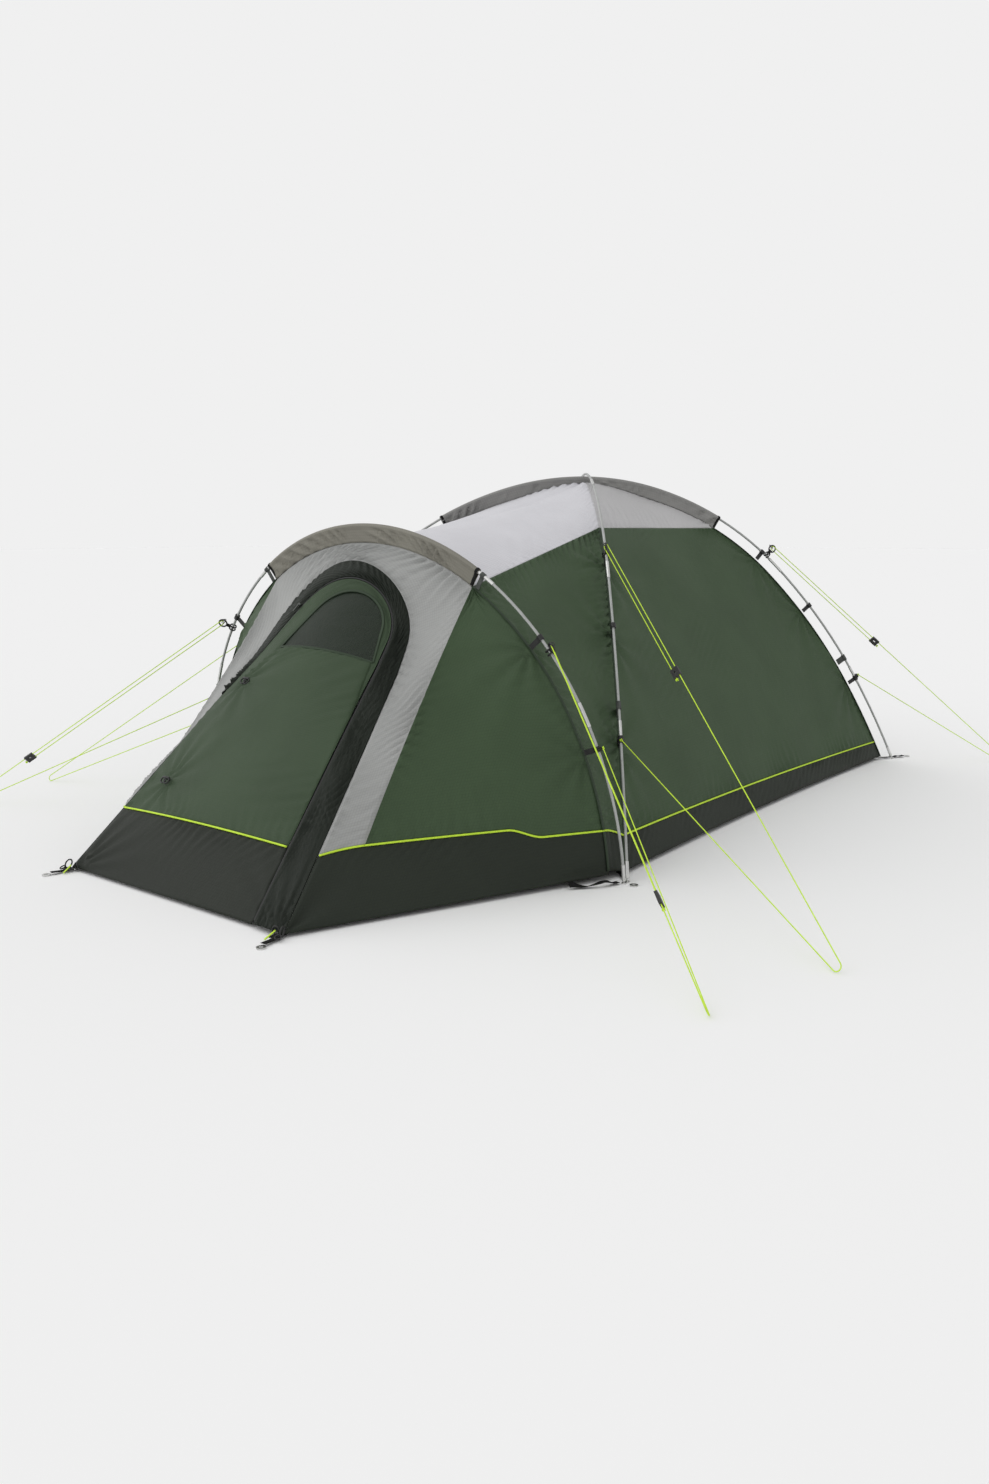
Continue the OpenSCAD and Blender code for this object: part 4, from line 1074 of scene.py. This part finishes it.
def on_pole_near(place):
    """The nearest point of a right-hand pole, and the way the pole runs there."""
    f = np.linspace(0.02, 1, 2400)
    runs = [dome_at(f, 0, 1, -1), dome_at(f, 0, 1, 1), arch_at(f, 0, 1)]
    run = min(runs, key=lambda r: np.linalg.norm(r - place, axis=-1).min())
    n = int(np.clip(np.linalg.norm(run - place, axis=-1).argmin(), 1, len(f) - 2))
    return run[n], unit(run[n + 1] - run[n - 1])


def wraps(near, way, out, shifts, radius, wire):
    """Turns of cord round a pole."""
    return [ring_tube(near + way * shift, radius, wire, out, np.cross(way, out)) for shift in shifts]


# Radius and wire of the guy ring, of the cord that holds it and of the lower tie; the tie's stub
GUY_RING, RING_WRAP, TIE_WRAP, STUB_R = (0.0135, 0.0028), (0.0098, 0.0026), (0.0092, 0.0024), 0.0035
TAPE_H = 0.0016
fittings, ring_straps = [], []
for ring, tie, _, _ in GUYS:
    near, way = on_pole_near(ring)
    out = unit(ring - near)
    fittings += [ring_tube(ring - out * 0.004, *GUY_RING, out, way),
                 *wraps(near, way, out, (-0.006, 0.006), *RING_WRAP)]
    ring_straps.append(tape(near + out * np.linspace(0.007, 0.024, 6)[:, None], way, 0.014, TAPE_H))
    near, way = on_pole_near(tie)
    out = unit(tie - near)
    fittings += [*wraps(near, way, out, (-0.005, 0.0, 0.005), *TIE_WRAP),
                 tube(near + out * np.linspace(0.009, 0.013, 4)[:, None], STUB_R, 8, way)]

# The elastic loop, its small ring and the bright pull tab at each front corner
corner = np.array([HALF_FRONT + 0.004, FRONT_Y - 0.008, 0.020])
pull_way = unit(np.array([0.25, -1.0, -0.45]))
loops = [ring_tube(corner + shift, radius, wire, x, y) for shift, radius, wire, x, y in (
    (0 * UP, 0.011, 0.0022, pull_way, UP),
    (pull_way * 0.019, 0.008, 0.0020, pull_way, np.array([1.0, 0.25, 0])),
    (np.array([-0.03, 0.006, -0.004]), 0.010, 0.0020, np.array([1.0, 0.2, 0]), UP))]
tab_from, tab_run = corner + np.array([-0.020, -0.004, 0]), np.array([-0.006, -0.030, -0.016])
tabs = [tape(tab_from + np.linspace(0, 1, 8)[:, None] * tab_run, RIGHT, 0.006, TAPE_H)]
for name, pieces, look, slot in (
        ("guy_rings", fittings, BLACK, "black_plastic"), ("guy_ring_tapes", ring_straps, WEBBING, "webbing"),
        ("corner_loops", loops, BLACK, "black_plastic"), ("corner_pull_tabs", tabs, NEON, "guy_line")):
    hardware(name, both_sides(pieces), look, "tent")

toggles = []
for x, q in TOGGLE_SPOTS:
    hub = on_door(x, q, 0.010)
    for turn in (-0.7, 0.7):
        arm = math.sin(turn) * RIGHT - math.cos(turn) * unit(np.cross(FRONT_OUT, RIGHT))
        toggles.append(ring_tube(hub + arm * 0.011, 0.010, 0.0022, arm, np.cross(FRONT_OUT, arm)))
    toggles.append(tube(hub + np.linspace(-0.014, 0.014, 9)[:, None] * RIGHT,
                        0.0042 * np.array([0.7, 0.9, 1, 1, 1, 1, 1, 0.9, 0.7])))
    toggles.append(tube(hub + FRONT_OUT * np.linspace(-0.012, 0.004, 5)[:, None], STUB_R, 8, RIGHT))
hardware("door_toggle_ties", toggles, BLACK, "porch_door", "door_toggles")

WEBBING_W = 0.019
foot_front, foot_rear = DOME_Y - DOME_L / 2, DOME_Y + DOME_L / 2
TAILS = [  # start x, start y, turn in degrees, length, curl height, twist
    (DOME_W / 2 - 0.070, foot_rear - 0.072, 46, 0.088, 0.001, 0.0),
    (DOME_W / 2 - 0.002, foot_rear + 0.009, 62, 0.054, 0.002, 0.0),
    (DOME_W / 2 - 0.062, foot_front + 0.055, -41, 0.060, 0.001, 0.0),
    (DOME_W / 2 - 0.014, ARCH_Y - 0.012, -118, 0.150, 0.010, 0.9),
    (HALF_FRONT - 0.016, FRONT_Y + 0.024, -77, 0.092, 0.002, 0.0)]
tails = []
for x, y, turn, length, curl, twist in TAILS:
    t = np.linspace(0, 1, 22)[:, None]
    way = np.array([math.cos(math.radians(turn)), math.sin(math.radians(turn)), 0])
    side = np.array([-way[1], way[0], 0])
    path = (np.array([x, y, 0.0056]) + way * length * t + side * curl * 0.9 * np.sin(5 * t)
            + UP * curl * (np.sin(math.pi * t * 1.5) ** 2) * smooth(t / 0.3))
    lean = twist * np.sin(math.pi * 1.4 * t) * smooth(t / 0.4)
    tails.append(tape(path, side * np.cos(lean) + UP * np.sin(lean), WEBBING_W, TAPE_H))
hardware("corner_webbing_tapes", both_sides(tails), WEBBING, "tent", "corner_webbing")

# ---- carried-over CAD nodes get their materials ----
for material, nodes in (
        (FIBRE, "dome_pole_upper dome_pole_lower porch_pole"), (FERRULE, "pole_ferrules pole_tips"),
        (ELASTIC, "shock_cords"), (STRAP, "pole_straps"), (STEEL, "ring_pins peg_eyelets"),
        (BLACK, "pole_clips strap_buckles " + " ".join(f"guy_slider_{n}" for n in range(1, 7))),
        (ZIP, "door_zip inner_zip"), (SLIDER, "door_zip_slider inner_zip_slider")):
    for node in nodes.split():
        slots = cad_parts[node].data.materials
        slots.clear()
        slots.append(material)


# ---- stage ----
BACKGROUND = 0.8713
EVEN, LOBE, LOBE_POWER = 0.78, 1.15, 3
LIGHT_WAY = unit(np.array([-0.60, -0.50, 0.62]))


def floor_light():
    """Light that reaches an open floor, as a share of the background."""
    height = np.linspace(0, 1, 400)[:, None]
    turn = np.linspace(0, WHOLE, 400, endpoint=False)
    flat = np.sqrt(1 - height ** 2)
    facing = flat * np.cos(turn) * LIGHT_WAY[0] + flat * np.sin(turn) * LIGHT_WAY[1] + height * LIGHT_WAY[2]
    return float(2 * ((EVEN + LOBE * np.maximum(facing, 0) ** LOBE_POWER) * height).mean())


def make_stage():
    """A pale floor in a wide soft light from the front left, so toned that it matches the background."""
    size = 60
    corners = [(x * size, y * size, 0) for x, y in ((-1, -1), (1, -1), (1, 1), (-1, 1))]
    material = new_material("floor", [1 / floor_light()] * 3, 1.0, specular=0.0)[0]
    add_object("floor", mesh_of("floor", corners, [(0, 1, 2, 3)]), material)
    world = bpy.data.worlds.new("studio")
    world.use_nodes = True
    tree = world.node_tree
    where = tree.nodes.new("ShaderNodeTexCoord")
    path = tree.nodes.new("ShaderNodeLightPath")
    facing = add(tree, "ShaderNodeVectorMath", operation="DOT_PRODUCT")
    feed(tree, facing.inputs[0], where.outputs["Generated"])
    feed(tree, facing.inputs[1], tuple(LIGHT_WAY))
    lobe = maths(tree, "POWER", maths(tree, "MAXIMUM", facing.outputs["Value"], 0.0), LOBE_POWER)
    pick = tree.nodes.new("ShaderNodeMix")
    feed(tree, pick.inputs[MIX_FACTOR], path.outputs["Is Camera Ray"])
    level = maths(tree, "MULTIPLY_ADD", lobe, LOBE * BACKGROUND, EVEN * BACKGROUND)
    feed(tree, pick.inputs[MIX_FLOATS[0]], level)
    feed(tree, pick.inputs[MIX_FLOATS[1]], BACKGROUND)
    background = tree.nodes["Background"]
    background.inputs["Color"].default_value = (1, 1, 1, 1)
    tree.links.new(pick.outputs[0], background.inputs["Strength"])
    bpy.context.scene.world = world
    bpy.context.scene.view_settings.view_transform = "Standard"


make_stage()
